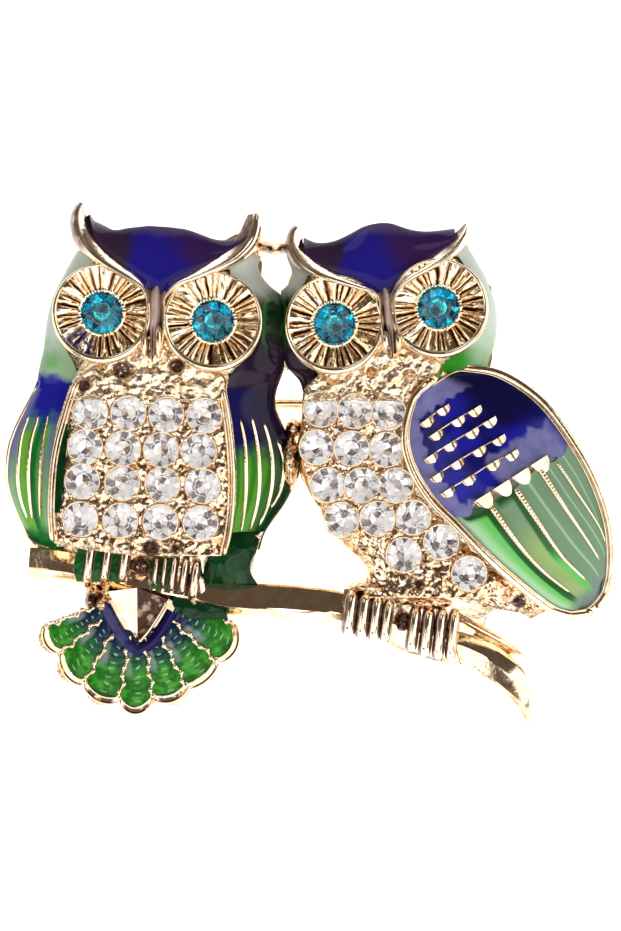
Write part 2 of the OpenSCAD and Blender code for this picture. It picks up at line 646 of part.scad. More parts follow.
// The keel over the root of the tail: a ridge from its high top corner down to the point of the vee
keel_angles = [-78, 70, 0];
keel_edge = 0.1;
keel_foot = 0.3;
module keel_post(p, low, high) {
    translate([p.x, p.y, low]) cylinder(h = high - low, r = keel_edge, $fn = 6);
}
module tail_keel() {
    corners = [for (angle = keel_angles) tail_at(angle, vee_in(angle) - (angle == 0 ? edge_w : 0))];
    hull() {
        for (p = corners) keel_post(p, tail_d / 2, tail_d + keel_foot);
        keel_post([corners[2].x, corners[0].y], tail_d / 2, keel_d);
    }
}

// Branch: rows of [owl that it follows, x, up, width share, height share]
branch_form = [
    [0, -0.845, -0.062, 0.80, 0.95],
    [0, -0.63, -0.070, 0.76, 1.00],
    [0, -0.09, -0.118, 0.66, 0.92],
    [0, 0.32, -0.150, 0.66, 0.95],
    [0, 0.655, -0.170, 0.74, 1.00],
    [1, -0.86, -0.006, 0.78, 1.00],
    [1, -0.44, -0.024, 0.82, 1.00],
    [1, 0.20, -0.096, 0.94, 0.98],
    [1, 0.73, -0.150, 1.00, 0.94],
    [1, 1.00, -0.215, 0.88, 0.88],
    [1, 1.19, -0.274, 0.56, 0.76],
    [1, 1.305, -0.330, 0.18, 0.60]
];
twig_form = [
    [1, 0.55, -0.075, 0.50, 0.80],
    [1, 0.90, -0.104, 0.45, 0.85],
    [1, 1.10, -0.130, 0.32, 0.75],
    [1, 1.26, -0.150, 0.12, 0.60]
];
wood_form = [[-0.5, 0.42], [-0.36, 0.62], [0.14, 1], [0.5, 0.5]];
function branch_path(form) = [for (row = form)
    concat(row[0] == 0 ? left_at([row[1], row[2]]) : right_at([row[1], row[2]]),
        [2 * branch_r * row[3], branch_d * row[4]])];
branch_line = branch_path(branch_form);
module branch() {
    bead(branch_line, 0, wood_form);
    bead(branch_path(twig_form), 0, wood_form);
}
// Where a claw's foot rests on the branch, at its place along u
function branch_v(u) = lookup(u, [for (q = branch_line) [q.x, q.y]]);
// Claws: rows of [owl that it belongs to, x at its top, how far its tip leans to the right]
claw_places = [
    [0, -0.44, -0.03], [0, -0.32, -0.01], [0, -0.20, 0.03],
    [0, 0.01, -0.03], [0, 0.11, 0], [0, 0.21, 0.02], [0, 0.30, 0.04],
    [1, -0.40, -0.06], [1, -0.28, -0.05], [1, -0.16, -0.03], [1, -0.04, -0.01],
    [1, 0.18, -0.03], [1, 0.31, -0.01], [1, 0.44, 0.02], [1, 0.58, 0.05]
];
// Along a claw: rows of [share of the way, place over the branch's middle, width share, height]
claw_rows = [
    [0, 1.05, 0.9, 0.98 * branch_d],
    [0.4, 0.30, 1, branch_d + claw_rise],
    [1, -0.85, 0.7, 0.85 * branch_d]
];
claw_form = [[-0.5, 0.8], [0, 1], [0.5, 0.8]];
module claw(top_u, tip_u) {
    v = branch_v(top_u);
    path = [for (row = claw_rows)
        [mix(top_u, tip_u, row[0]), v + branch_r * row[1], claw_d * row[2], row[3]]];
    hull() bead(path, branch_d / 2, claw_form);
}
module claws() {
    for (q = claw_places) {
        tops = q[0] == 0 ? left_at([q[1], 0]) : right_at([q[1], 0]);
        tips = q[0] == 0 ? left_at([q[1] + q[2], 0]) : right_at([q[1] + q[2], 0]);
        claw(tops.x, tips.x);
    }
}
// Short tail of the right owl, a strip of rough metal under its wing: rows of [up, left, right]
right_tail_form = [[-0.055, 0.35, 1.30], [-0.02, 0.30, 1.58], [0.01, 0.25, 1.60], [0.05, 0.20, 1.50]];
right_tail_rise = 0.7;
module right_tail() {
    sheet(placed(form_lattice(right_tail_form, [for (row = right_tail_form) row[0]], steps(0, 1, 4)),
        function (p) right_at(p)), function (p) 0, function (p) right_d * right_tail_rise);
}

// Folded wing: rows of [along, low side, outer side] as shares of half its length and width
wing_form = [
    [-1.02, 0.02, 0.16],
    [-0.97, -0.16, 0.36],
    [-0.85, -0.36, 0.60],
    [-0.69, -0.48, 0.79],
    [-0.52, -0.58, 0.93],
    [-0.33, -0.68, 1.02],
    [-0.14, -0.76, 1.07],
    [0.05, -0.83, 1.08],
    [0.22, -0.90, 1.07],
    [0.38, -0.92, 1.04],
    [0.52, -0.90, 0.97],
    [0.66, -0.83, 0.86],
    [0.77, -0.71, 0.73],
    [0.86, -0.55, 0.55],
    [0.93, -0.38, 0.36],
    [0.975, -0.12, 0.08]
];
wing_middle = [1.093, 0.280];
wing_mid = right_at(wing_middle);
wing_along = [-sin(wing_lean), cos(wing_lean)];
wing_across = [cos(wing_lean), sin(wing_lean)];
function wing_at(p) = wing_mid + p.x * wing_l / 2 * wing_along + p.y * wing_w / 2 * wing_across;
function wing_share(p) =
    let (q = p - wing_mid) [q * wing_along / wing_l * 2, q * wing_across / wing_w * 2];
wing_low_edge = 0.86;
wing_outer_edge = 0.44;
wing_tip_fall = 0.62;
wing_swell = 0.3;
function wing_top(p) =
    let (s = wing_share(p), row = at_row(wing_form, s.x))
        wing_d * arched(wing_low_edge, wing_outer_edge, (s.y - row[0]) / (row[1] - row[0]), wing_swell)
            * mix(wing_tip_fall, 1, sin(90 * held(s.x - wing_form[0][0], 0, 1)));
function wing_lattice(alongs, ts) = lattice(alongs, ts,
    function (a, t) let (row = at_row(wing_form, a)) wing_at([a, mix(row[0], row[1], t)]));
wing_flat = wing_lattice([for (row = wing_form) row[0]], across);
module wing() { sheet(wing_flat, function (p) 0, function (p) wing_top(p)); }
wing_hollow_alongs = steps(-0.75, 0.12, 3);
wing_hollow_ts = steps(0.25, 0.8, 2);
module wing_hollow() {
    sheet(wing_lattice(wing_hollow_alongs, wing_hollow_ts),
        function (p) -cut_down, function (p) hollow_top(wing_top(p)));
}
// A place in the wing between its borders: t from the low side to the outer side
function wing_inner(a, t) =
    let (row = at_row(wing_form, a), b = wing_border / wing_w * 2)
        wing_at([a, mix(row[0] + b, row[1] - b, t)]);
// The blue scales: the cell ends in round lobes where the green vanes begin
scale_line = 0.055;
blue_to = 0.945;
blue_steps = [0, 0.3, 0.6, 0.85, 1];
lobes = 6;
lobe_depth = 0.035;
module wing_blue_outline(grow) {
    cell(lattice(blue_steps, steps(0, 1, 2 * lobes),
        function (s, t)
            let (low = scale_line - lobe_depth * abs(sin(180 * lobes * t)))
                wing_inner(mix(low, blue_to, s), t)),
        function (p) wing_top(p), grow);
}
// Rows of half-moon scales that stand through the blue: [along, first across, scales]
scale_rows = [[0.755, -0.38, 2], [0.63, -0.37, 3], [0.50, -0.61, 4], [0.372, -0.64, 4], [0.235, -0.36, 3]];
scale_step = 0.285;
scale_w = 0.25;
scale_h = 0.075;
scale_tip_w = 0.5;
scale_root = 1.5;
module scales(grow, top_rise) {
    g = grow / wing_w * 2;
    for (row = scale_rows, i = [0:row[2] - 1])
        sheet(lattice([0, 1], [-1, 1],
            function (s, t)
                wing_at([row[0] + (s == 0 ? -scale_h - g / 2 : g / 2),
                    row[1] + scale_step * i + t * (g + scale_w / 2 * (s == 0 ? scale_tip_w : 1))])),
            function (p) wing_top(p) - scale_root, function (p) wing_top(p) + top_rise);
}
module wing_blue_cell(grow) {
    difference() {
        wing_blue_outline(grow);
        scales(enamel_gap - grow, clear_up + 1);
    }
}
// The green vanes: strips between lines that run from the scales to the tip
vane_splits = [[0, 0], [0.30, 0.34], [0.53, 0.64], [0.74, 0.82], [0.87, 0.91], [1, 1]];
vane_from = -0.93;
vane_to = scale_line - 0.075;
// A place on the line between two vanes: s runs from the tip to the scales
function vane_line(k, s) =
    wing_inner(mix(vane_from, vane_to, s), mix(vane_splits[k][1], vane_splits[k][0], s));
module wing_green_cells(grow) {
    n = len(vane_splits) - 2;
    for (k = [0:n])
        cell(lattice(steps(0, 1, 6), [0, 1],
            function (s, t)
                let (p = vane_line(k, s), q = vane_line(k + 1, s),
                     in = min(line_w / 2, norm(q - p) / 4), way = unit(q - p))
                    mix(p + way * (k == 0 ? 0 : in), q - way * (k == n ? 0 : in), t)),
            function (p) wing_top(p), grow);
}

// Links between the two heads: a bar over the upper gap, and a seam under it
link_form = [[0, 0.62, 0.862, 0.9, 2.6], [0, 0.80, 0.868, 0.8, 2.4], [1, -0.90, 0.935, 0.9, 2.6]];
seam_ups = [0.50, 0.705];
seam_w = 1.6;
seam_between = [0.88, -1.02];
seam_u = (left_at([seam_between[0], 0]).x + right_at([seam_between[1], 0]).x) / 2;
module links() {
    bead([for (row = link_form)
        concat(row[0] == 0 ? left_at([row[1], row[2]]) : right_at([row[1], row[2]]), [row[3], row[4]])], 0);
    bead([for (up = seam_ups) [seam_u, left_at([0, up]).y, seam_w, seam_w]], 0);
}

module casting_forms() {
    left_body();
    left_crown();
    left_breast();
    left_flank();
    right_body();
    right_crown();
    right_breast();
    right_tail();
    wing();
    tail();
    links();
}
module all_cells(grow) {
    left_crown_cell(grow);
    left_cheek_cell(0, grow);
    left_cheek_cell(1, grow);
    left_wing_cells(0, grow);
    left_wing_cells(1, grow);
    left_flank_cell(grow);
    tail_vee_cell(grow);
    tail_feather_cells(grow);
    right_crown_cell(grow);
    right_cheek_cell(0, grow);
    right_cheek_cell(1, grow);
    wing_blue_cell(grow);
    wing_green_cells(grow);
}
module raised_metal() {
    left_rims();
    brows(left_brows, function (p) left_at(p));
    brows(right_brows, function (p) right_at(p));
    beak(left_beak, function (p) left_at(p));
    beak(right_beak, function (p) right_at(p));
    left_collar(0);
    right_collar(0);
    for (k = [0:3]) at_eye(k) eye_disc();
    grains(left_stones, left_stone_rows, function (p) left_breast_top(p));
    grains(right_stones, right_stone_rows, function (p) right_breast_top(p));
    scales(0, line_rise);
    branch();
    claws();
    tail_keel();
}
module all_seats() {
    for (k = [0:3]) at_eye_stone(k) seat(eye_stone_d);
    for (p = left_stones) on_surface(function (q) left_breast_top(q), p) seat(stone_d);
    for (p = right_stones) on_surface(function (q) right_breast_top(q), p) seat(stone_d);
}

// The pin lies along u at this place; its rivet stands along v
rivet_at = [right_at([1.215, 0]).x, pin_up, -pin_drop];
hook_u = rivet_at.x - pin_span;
module along_v(d, length) {
    translate([rivet_at.x, pin_up, -pin_drop]) rotate([90, 0, 0])
        cylinder(h = length, d = d, center = true, $fn = 48);
}
eye_room = 0.06;
module hinge_shape() {
    translate([rivet_at.x - finding_r, pin_up - finding_w / 2, -pin_drop])
        cube([2 * finding_r, finding_w, pin_drop - seat_gap]);
    along_v(2 * finding_r, finding_w);
}

// The whole brooch is laid on its back: it stands on the findings and on the branch's tip
branch_end = branch_line[len(branch_line) - 1];
branch_side = side_of(branch_line, len(branch_line) - 1) * branch_end[2] / 2;
low_v = branch_end.y - abs(branch_side.y);
lie = atan((pin_drop + finding_r) / (pin_up - finding_w / 2 - low_v));
function laid_y(v, w) = v * cos(lie) - w * sin(lie);
ear_line = [for (q = left_brows[0]) left_at([q[0], q[1]])];
ear_last = len(ear_line) - 1;
ear_w = brow_w * left_brows[0][ear_last][2];
ear_top = ear_line[ear_last].y + abs(side_of(ear_line, ear_last).y) * ear_w / 2;
box_left = -left_w / 2;
box_right = max([for (row = wing_flat, p = row) p.x]);
box_back = laid_y(ear_top, 0);
box_front = laid_y(low_v, branch_end[3] * wood_form[1][1]);
module at_rest() {
    translate([-(box_left + box_right) / 2, -(box_front + box_back) / 2, -low_v * sin(lie)])
        rotate([lie, 0, 0])
            children();
}

module casting() {
    color("gold") at_rest() difference() {
        union() {
            difference() {
                casting_forms();
                all_cells(enamel_gap);
            }
            raised_metal();
        }
        all_seats();
        left_hollows();
        right_hollow();
        wing_hollow();
    }
}
// A round rod along the pin's line, between two distances from the rivet
module rod(from, to, d_from, d_to) {
    translate([rivet_at.x - from, pin_up, -pin_drop]) rotate([0, -90, 0])
        cylinder(h = to - from, d1 = d_from, d2 = d_to, $fn = 32);
}
module pin_stem() {
    bore_r = rivet_d / 2 + rivet_gap;
    start = (bore_r + pin_eye_d / 2) / 2;
    neck = pin_eye_d / 2 + pin_d;
    neck_d = 1.35 * pin_d;
    length = pin_span + pin_past;
    point = 4 * pin_d;
    point_d = pin_d / 5;
    color("gold") at_rest() difference() {
        union() {
            along_v(pin_eye_d, finding_w - 2 * finding_t - 2 * eye_room);
            rod(start, neck, neck_d, pin_d);
            rod(neck, length - point, pin_d, pin_d);
            rod(length - point, length, pin_d, point_d);
        }
        along_v(2 * bore_r, finding_w);
    }
}
module hinge_bracket() {
    slot = finding_w - 2 * finding_t;
    color("gold") at_rest() difference() {
        hinge_shape();
        translate([rivet_at.x - 2 * finding_r, pin_up - slot / 2, -pin_drop - 2 * finding_r])
            cube([4 * finding_r, slot, 2 * finding_r + pin_drop - seat_gap - finding_t]);
        along_v(rivet_d + 2 * rivet_gap, 2 * finding_w);
    }
}
module hinge_rivet() {
    head_d = 1.5 * rivet_d;
    head_t = 0.25;
    color("gold") at_rest() {
        along_v(rivet_d, finding_w + 2 * rivet_gap + head_t);
        for (side = [-1, 1])
            translate([0, side * (finding_w / 2 + rivet_gap + head_t / 2), 0]) along_v(head_d, head_t);
    }
}
module catch() {
    hook_l = 1.4;
    pin_room = 0.1;
    slot = pin_d + 2 * pin_room;
    color("gold") at_rest() difference() {
        translate([hook_u - hook_l / 2, pin_up - finding_w / 2, -pin_drop - finding_r])
            cube([hook_l, finding_w, pin_drop + finding_r - seat_gap]);
        translate([hook_u - hook_l, pin_up - slot / 2, -pin_drop - 2 * finding_r])
            cube([2 * hook_l, slot, 2 * finding_r]);
        translate([hook_u - hook_l, pin_up, -pin_drop]) rotate([0, 90, 0])
            cylinder(h = 2 * hook_l, d = slot, $fn = 32);
    }
}
module left_crown_enamel() { color("navy") at_rest() left_crown_cell(0); }
module left_outer_cheek_enamel() { color("darkseagreen") at_rest() left_cheek_cell(0, 0); }
module left_inner_cheek_enamel() { color("darkgreen") at_rest() left_cheek_cell(1, 0); }
module left_outer_wing_enamel() { color("seagreen") at_rest() left_wing_cells(0, 0); }
// Room between a collar and the enamel that ends beside it
collar_room = 0.08;
module left_inner_wing_enamel() {
    color("seagreen") at_rest() difference() {
        left_wing_cells(1, 0);
        left_collar(collar_room);
    }
}
module left_flank_enamel() { color("darkgreen") at_rest() left_flank_cell(0); }
module tail_blue_enamel() { color("midnightblue") at_rest() tail_vee_cell(0); }
module tail_feather_enamel() { color("forestgreen") at_rest() tail_feather_cells(0); }
// Where the floor of a cell is twisted, its enamel stays a little further from it
twist_room = 0.1;
module right_crown_enamel() { color("navy") at_rest() right_crown_cell(-twist_room); }
module right_inner_cheek_enamel() {
    color("darkgreen") at_rest() difference() {
        right_cheek_cell(0, 0);
        right_collar(collar_room);
    }
}
module right_outer_cheek_enamel() { color("darkseagreen") at_rest() right_cheek_cell(1, 0); }
module right_wing_blue_enamel() { color("navy") at_rest() wing_blue_cell(-twist_room); }
module right_wing_green_enamel() { color("mediumseagreen") at_rest() wing_green_cells(0); }
module eye_stone(k) { color("teal") at_rest() at_eye_stone(k - 1) stone(eye_stone_d); }
module left_stone(k) {
    color("white") at_rest() on_surface(function (p) left_breast_top(p), left_stones[k - 1]) stone(stone_d);
}
module right_stone(k) {
    color("white") at_rest()
        on_surface(function (p) right_breast_top(p), right_stones[k - 1]) stone(stone_d);
}

casting();
pin_stem();
hinge_bracket();
hinge_rivet();
catch();
left_crown_enamel();
left_outer_cheek_enamel();
left_inner_cheek_enamel();
left_outer_wing_enamel();
left_inner_wing_enamel();
left_flank_enamel();
tail_blue_enamel();
tail_feather_enamel();
right_crown_enamel();
right_inner_cheek_enamel();
right_outer_cheek_enamel();
right_wing_blue_enamel();
right_wing_green_enamel();
for (k = [1:4])
    eye_stone(k);
for (k = [1:len(left_stones)])
    left_stone(k);
for (k = [1:len(right_stones)])
    right_stone(k);
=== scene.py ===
# %% [markdown]
# # A brooch of two owls, dressed over its CAD frame
#
# The real brooch is one casting of pale gold metal. Cells in it are filled with enamel that is poured,
# baked and left glossy; the eyes and breasts carry cut stones. The CAD frame has every main form, so
# this script keeps its places and sizes and makes each form again with finer shapes and finishes.
# Everything is drawn in the brooch's own plane, in millimetres, and laid down at the end.

import json
import math

import bmesh
import bpy
from mathutils import Matrix, Vector, noise


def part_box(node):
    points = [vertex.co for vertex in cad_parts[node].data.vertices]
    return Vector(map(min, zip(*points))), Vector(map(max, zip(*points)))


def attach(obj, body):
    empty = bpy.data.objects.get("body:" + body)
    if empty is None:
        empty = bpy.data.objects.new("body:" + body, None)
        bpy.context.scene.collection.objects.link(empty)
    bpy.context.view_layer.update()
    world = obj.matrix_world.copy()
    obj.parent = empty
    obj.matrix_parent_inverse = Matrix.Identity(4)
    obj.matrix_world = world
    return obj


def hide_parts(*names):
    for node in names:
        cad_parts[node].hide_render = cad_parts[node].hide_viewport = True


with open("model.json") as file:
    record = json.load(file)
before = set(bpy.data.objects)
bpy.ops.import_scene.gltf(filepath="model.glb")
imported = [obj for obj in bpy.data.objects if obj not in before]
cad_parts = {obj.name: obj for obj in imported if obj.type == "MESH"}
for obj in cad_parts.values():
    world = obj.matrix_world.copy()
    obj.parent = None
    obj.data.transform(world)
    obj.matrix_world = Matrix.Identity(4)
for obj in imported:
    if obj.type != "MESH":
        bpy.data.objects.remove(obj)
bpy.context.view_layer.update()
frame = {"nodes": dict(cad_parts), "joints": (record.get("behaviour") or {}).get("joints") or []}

# %% [markdown]
# The brooch lies on its back, tipped by the fittings behind it. The pin's joint tells how: its axis
# runs along the brooch's height, and its place is the rivet, whose place in the drawing is known. One
# matrix then lays any piece that is drawn flat and in millimetres on the frame.

# %% From the drawing to the frame
RIVET = Vector((27.87, 10.4, -1.6))
swing = frame["joints"][0]
tilt = math.atan2(-swing["axis"][2], -swing["axis"][1])
turn = Matrix.Rotation(tilt, 4, "X")
shift = Vector(swing["pos_m"]) * 1000 - turn @ RIVET
LAY = Matrix.Scale(0.001, 4) @ Matrix.Translation(shift) @ turn
MM = 0.0755                    # millimetres to one step of the drawing's grid
ZERO_X, ZERO_Y = 153, 541      # where the grid has the drawing's zero
GOLD, BROOCH = "gold", "brooch"
print("tilt", round(math.degrees(tilt), 3), "shift", [round(c, 3) for c in shift])


def at(x, y, height=0.0):
    """A place of the drawing's grid (x to the right, y down) as a point in millimetres."""
    return Vector(((x - ZERO_X) * MM, (ZERO_Y - y) * MM, height))


def on_grid(point):
    """The grid's x and y of a point in millimetres."""
    return point.x / MM + ZERO_X, ZERO_Y - point.y / MM


def drawn(name):
    """The grid's x and y of the middle of a CAD node."""
    low, high = (Vector(c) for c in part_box(name))
    return on_grid(LAY.inverted() @ ((low + high) / 2))


# %% [markdown]
# Most forms here follow smooth curves. A curve is kept as a short table of rows, and every value in
# between comes from a cubic curve through the rows, which is what a draughtsman's spline does.

# %% Smooth curves through short tables
def smooth(rows, key):
    """The values of a row at this key, on one smooth curve through all rows."""
    i = 0
    while i < len(rows) - 2 and key > rows[i + 1][0]:
        i += 1
    a, b = rows[i], rows[i + 1]
    before, after = rows[max(i - 1, 0)], rows[min(i + 2, len(rows) - 1)]
    span = b[0] - a[0]
    t = min(max((key - a[0]) / span, 0.0), 1.0)
    out = []
    for c in range(1, len(a)):
        slope_a = (b[c] - before[c]) / (b[0] - before[0]) * span
        slope_b = (after[c] - a[c]) / (after[0] - a[0]) * span
        out.append((2 * t**3 - 3 * t**2 + 1) * a[c] + (t**3 - 2 * t**2 + t) * slope_a
                   + (3 * t**2 - 2 * t**3) * b[c] + (t**3 - t**2) * slope_b)
    return out


def line(points):
    """A function of t from 0 to 1 that runs along the points at an even pace."""
    rows, run = [[0.0, *points[0]]], 0.0
    for a, b in zip(points, points[1:]):
        run += math.dist(a[:2], b[:2])
        rows.append([run, *b])
    return lambda t: smooth(rows, t * run)


def mix(a, b, t):
    return a + (b - a) * t


def held(t):
    return min(max(t, 0.0), 1.0)


def given(value, *place):
    """A measure that is one number, or a function of the place."""
    return value(*place) if callable(value) else value


def arch(t, power=0.6):
    return math.sin(math.pi * held(t)) ** power


def rough(point, size, depth):
    """Relief of a cast, unpolished surface: soft lumps of this size, up to this depth."""
    return depth * noise.fractal(point / size, 0.9, 2.0, 3)


# %% [markdown]
# A few helpers make nearly every piece. A patch is a grid whose points are moved to their places and
# then extruded down, so it is closed. A rod is a grid rolled up round a line. A ribbon is a patch along
# a line with a cross-section of its own. Each keeps the grid's UV map, so a finish can follow the
# piece's length and width.

# %% Patches, rods, ribbons and rings
FOOT = 0.12              # a piece ends this far above the casting's flat back, inside its metal


def grid(across, along, place, wrap=False):
    """A flat grid whose points move to place(s, t); with wrap, edges that meet are joined."""
    shape = bmesh.new()
    shape.loops.layers.uv.new("UVMap")
    bmesh.ops.create_grid(shape, x_segments=across, y_segments=along, size=0.5, calc_uvs=True)
    for v in shape.verts:
        v.co = place(v.co.x + 0.5, v.co.y + 0.5)
    if wrap:
        bmesh.ops.remove_doubles(shape, verts=shape.verts, dist=2e-4)
    return shape


def patch(across, along, place, base=FOOT, wrap=False):
    """A closed slab: its top comes from place(s, t); base is a height, or gives one for a point."""
    shape = grid(across, along, place, wrap)
    new = bmesh.ops.extrude_face_region(shape, geom=shape.faces[:])["geom"]
    for v in new:
        if isinstance(v, bmesh.types.BMVert):
            v.co.z = min(given(base, v.co), v.co.z - 0.02)
    bmesh.ops.recalc_face_normals(shape, faces=shape.faces)
    return shape


def under(depth):
    """A base for a thin layer: it follows the top, this far below it."""
    return lambda p: p.z - depth


POURED = under(0.28)     # enamel is poured thin; from the side the metal shows below it


def field(rows, height, across, along, upright=True, base=FOOT, spread=None):
    """A patch between two curves: rows of [y, left x, right x], or of [x, low y, high y]."""
    def place(s, t):
        s, t = spread(s, t) if spread else (s, t)
        key = mix(rows[0][0], rows[-1][0], t)
        near, far = smooth(rows, key)[:2]
        x, y = (mix(near, far, s), key) if upright else (key, mix(near, far, s))
        return at(x, y, height(x, y, s, t))

    return patch(across, along, place, base)


def way_along(run, t, closed=False):
    """The flat direction to the side of a run at t."""
    back = run((t - 0.01) % 1 if closed else max(t - 0.01, 0))
    ahead = run((t + 0.01) % 1 if closed else min(t + 0.01, 1))
    way = (at(*ahead[:2]) - at(*back[:2])).normalized()
    return Vector((way.y, -way.x, 0))


def rolled(sides, steps, skin):
    """A grid rolled up to a closed skin."""
    shape = grid(sides, steps, skin, wrap=True)
    bmesh.ops.recalc_face_normals(shape, faces=shape.faces)
    return shape


def rod(points, radius, surface, lift, steps, sides, flat=1.0, beads=0, swell=0.0, closed=False):
    """A round rod along [x, y] points, laid on a surface; radius in mm, or a function of t. It can have
    beads, which swell by a share of the radius."""
    run = line(points)

    def skin(s, t):
        x, y = run(t)[:2]
        r = given(radius, t)
        r *= 1 if closed else math.sqrt(held(min(t, 1 - t) / 0.04))
        r *= 1 + swell * math.cos(2 * math.pi * beads * t)
        angle = 2 * math.pi * s
        z = surface(x, y) + lift + flat * r * math.sin(angle)
        return at(x, y, z) + way_along(run, t, closed) * (r * math.cos(angle))

    return rolled(sides, steps, skin)


def ribbon(points, profile, steps, across, base=FOOT):
    """A closed bar along [x, y, width, height] points, with profile(q, t) for q from -0.5 to 0.5."""
    run = line(points)

    def skin(s, t):
        x, y, width, height = run(t)
        side = way_along(run, t) * ((s - 0.5) * width * MM)
        return at(x, y, mix(base, height, profile(s - 0.5, t))) + side

    return patch(across, steps, skin, base)


def half_round(power):
    """A ribbon's cross-section like half a rod; the smaller the power, the squarer it is."""
    return lambda q, t: max(math.cos(math.pi * q), 0.0) ** power


def ring(middle, radius, wire, around, sides, beads=0, swell=0.0, flat=1.0):
    """A closed ring of wire round a point, all in mm; the wire may be a function of t."""
    def skin(s, t):
        r = given(wire, t)
        r *= 1 + swell * math.cos(2 * math.pi * beads * t)
        out = radius + r * math.cos(2 * math.pi * s)
        angle = 2 * math.pi * t
        height = flat * r * math.sin(2 * math.pi * s)
        return middle + Vector((out * math.cos(angle), out * math.sin(angle), height))

    return rolled(sides, around, skin)


def marked(shape, mark):
    """Writes mark(face, s, t) over the s of a shape's UV map, for its finish to read."""
    layer = shape.loops.layers.uv.active
    for face in shape.faces:
        for loop in face.loops:
            uv = loop[layer].uv
            uv.x = mark(face, *uv)
    return shape


def numbered(shape, k):
    """Moves a shape's UV map k steps to the right, so that a finish can tell like parts apart."""
    return marked(shape, lambda face, s, t: min(max(s, 0.001), 0.999) + k)


def bead(middle, radius):
    shape = bmesh.new()
    shape.loops.layers.uv.new("UVMap")
    bmesh.ops.create_icosphere(shape, subdivisions=2, radius=radius)
    bmesh.ops.translate(shape, vec=middle, verts=shape.verts)
    return shape


# %% [markdown]
# A finished piece joins its parts in one mesh, is laid on the frame, gets its finish, and rides on the
# brooch. Edges sharper than an angle stay sharp in the shading, all others are smooth.

# %% Finishing a piece
def piece(name, parts, finishes, stands_for=(), angle=60):
    """Makes an object of some shapes; stands_for names the CAD nodes that it takes the place of."""
    whole = bmesh.new()
    for part in parts:
        loose = bpy.data.meshes.new("loose")
        part.to_mesh(loose)
        whole.from_mesh(loose)
        part.free()
        bpy.data.meshes.remove(loose)
    for edge in whole.edges:
        edge.smooth = len(edge.link_faces) == 2 and edge.calc_face_angle(0) < math.radians(angle)
    for face in whole.faces:
        face.smooth = True
    whole.transform(LAY)
    mesh = bpy.data.meshes.new(name)
    whole.to_mesh(mesh)
    whole.free()
    print(name, len(mesh.polygons), "faces")
    thing = bpy.data.objects.new(name, mesh)
    bpy.context.scene.collection.objects.link(thing)
    for finish in finishes if isinstance(finishes, (list, tuple)) else [finishes]:
        mesh.materials.append(finish)
    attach(thing, BROOCH)
    if stands_for:
        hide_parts(*stands_for)
    return thing


# %% [markdown]
# Finishes are node trees. A small class wraps a socket, so that sums and products of sockets are
# written as in any formula, and one method adds every other kind of node.

# %% Shader sockets as values
class Flow:
    """One output socket of a finish's node tree."""

    def __init__(self, tree, socket=None):
        self.tree, self.socket = tree, socket

    def node(self, kind, settings=None, sockets=None, out=0):
        """Adds a node: its settings first, then its sockets' values or links; returns an output."""
        made = self.tree.nodes.new(kind)
        for name, value in (settings or {}).items():
            setattr(made, name, value)
        for name, value in (sockets or {}).items():
            self.plug(made.inputs[name], value)
        return Flow(self.tree, made.outputs[out])

    def plug(self, socket, value):
        if isinstance(value, Flow):
            self.tree.links.new(value.socket, socket)
        elif isinstance(value, (tuple, list)) and socket.type == "RGBA":
            socket.default_value = (*value, 1)
        else:
            socket.default_value = value

    def output(self, index):
        """Another output of the node that this one comes from."""
        return Flow(self.tree, self.socket.node.outputs[index])

    def math(self, operation, *others):
        """A Math node's function of this value, and of a second one where it takes two."""
        return self.node("ShaderNodeMath", {"operation": operation}, dict(enumerate((self, *others))))

    def __add__(self, other):
        return self.math("ADD", other)

    def __sub__(self, other):
        return self.math("SUBTRACT", other)

    def __rsub__(self, other):
        return self.node("ShaderNodeMath", {"operation": "SUBTRACT"}, {0: other, 1: self})

    def __mul__(self, other):
        return self.math("MULTIPLY", other)

    def __truediv__(self, other):
        return self.math("DIVIDE", other)

    __radd__, __rmul__ = __add__, __mul__

    def span(self, low, high, start=0.0, stop=1.0):
        """Eases from start to stop while the value goes from low to high."""
        return self.node("ShaderNodeMapRange", {"interpolation_type": "SMOOTHSTEP"},
                         {0: self, 1: low, 2: high, 3: start, 4: stop})

    def blend(self, one, other):
        """Mixes two colours by this value."""
        return self.node("ShaderNodeMix", {"data_type": "RGBA"}, {0: self, 6: one, 7: other}, out=2)

    def bump(self):
        """Normals for a relief of this height, in tenths of a millimetre."""
        return self.node("ShaderNodeBump", None, {"Strength": 1.0, "Distance": 0.0001, "Height": self})


def start_finish(name):
    finish = bpy.data.materials.new(name)
    finish.use_nodes = True
    return finish, Flow(finish.node_tree), finish.node_tree.nodes["Principled BSDF"]


def set_shader(flow, shader, **sockets):
    for name, value in sockets.items():
        flow.plug(shader.inputs[name.replace("_", " ")], value)


# %% [markdown]
# Patterns that belong to a place on the brooch read Object coordinates, turned back into the drawing by
# a Mapping node. Patterns that follow a strip read its own UV map.

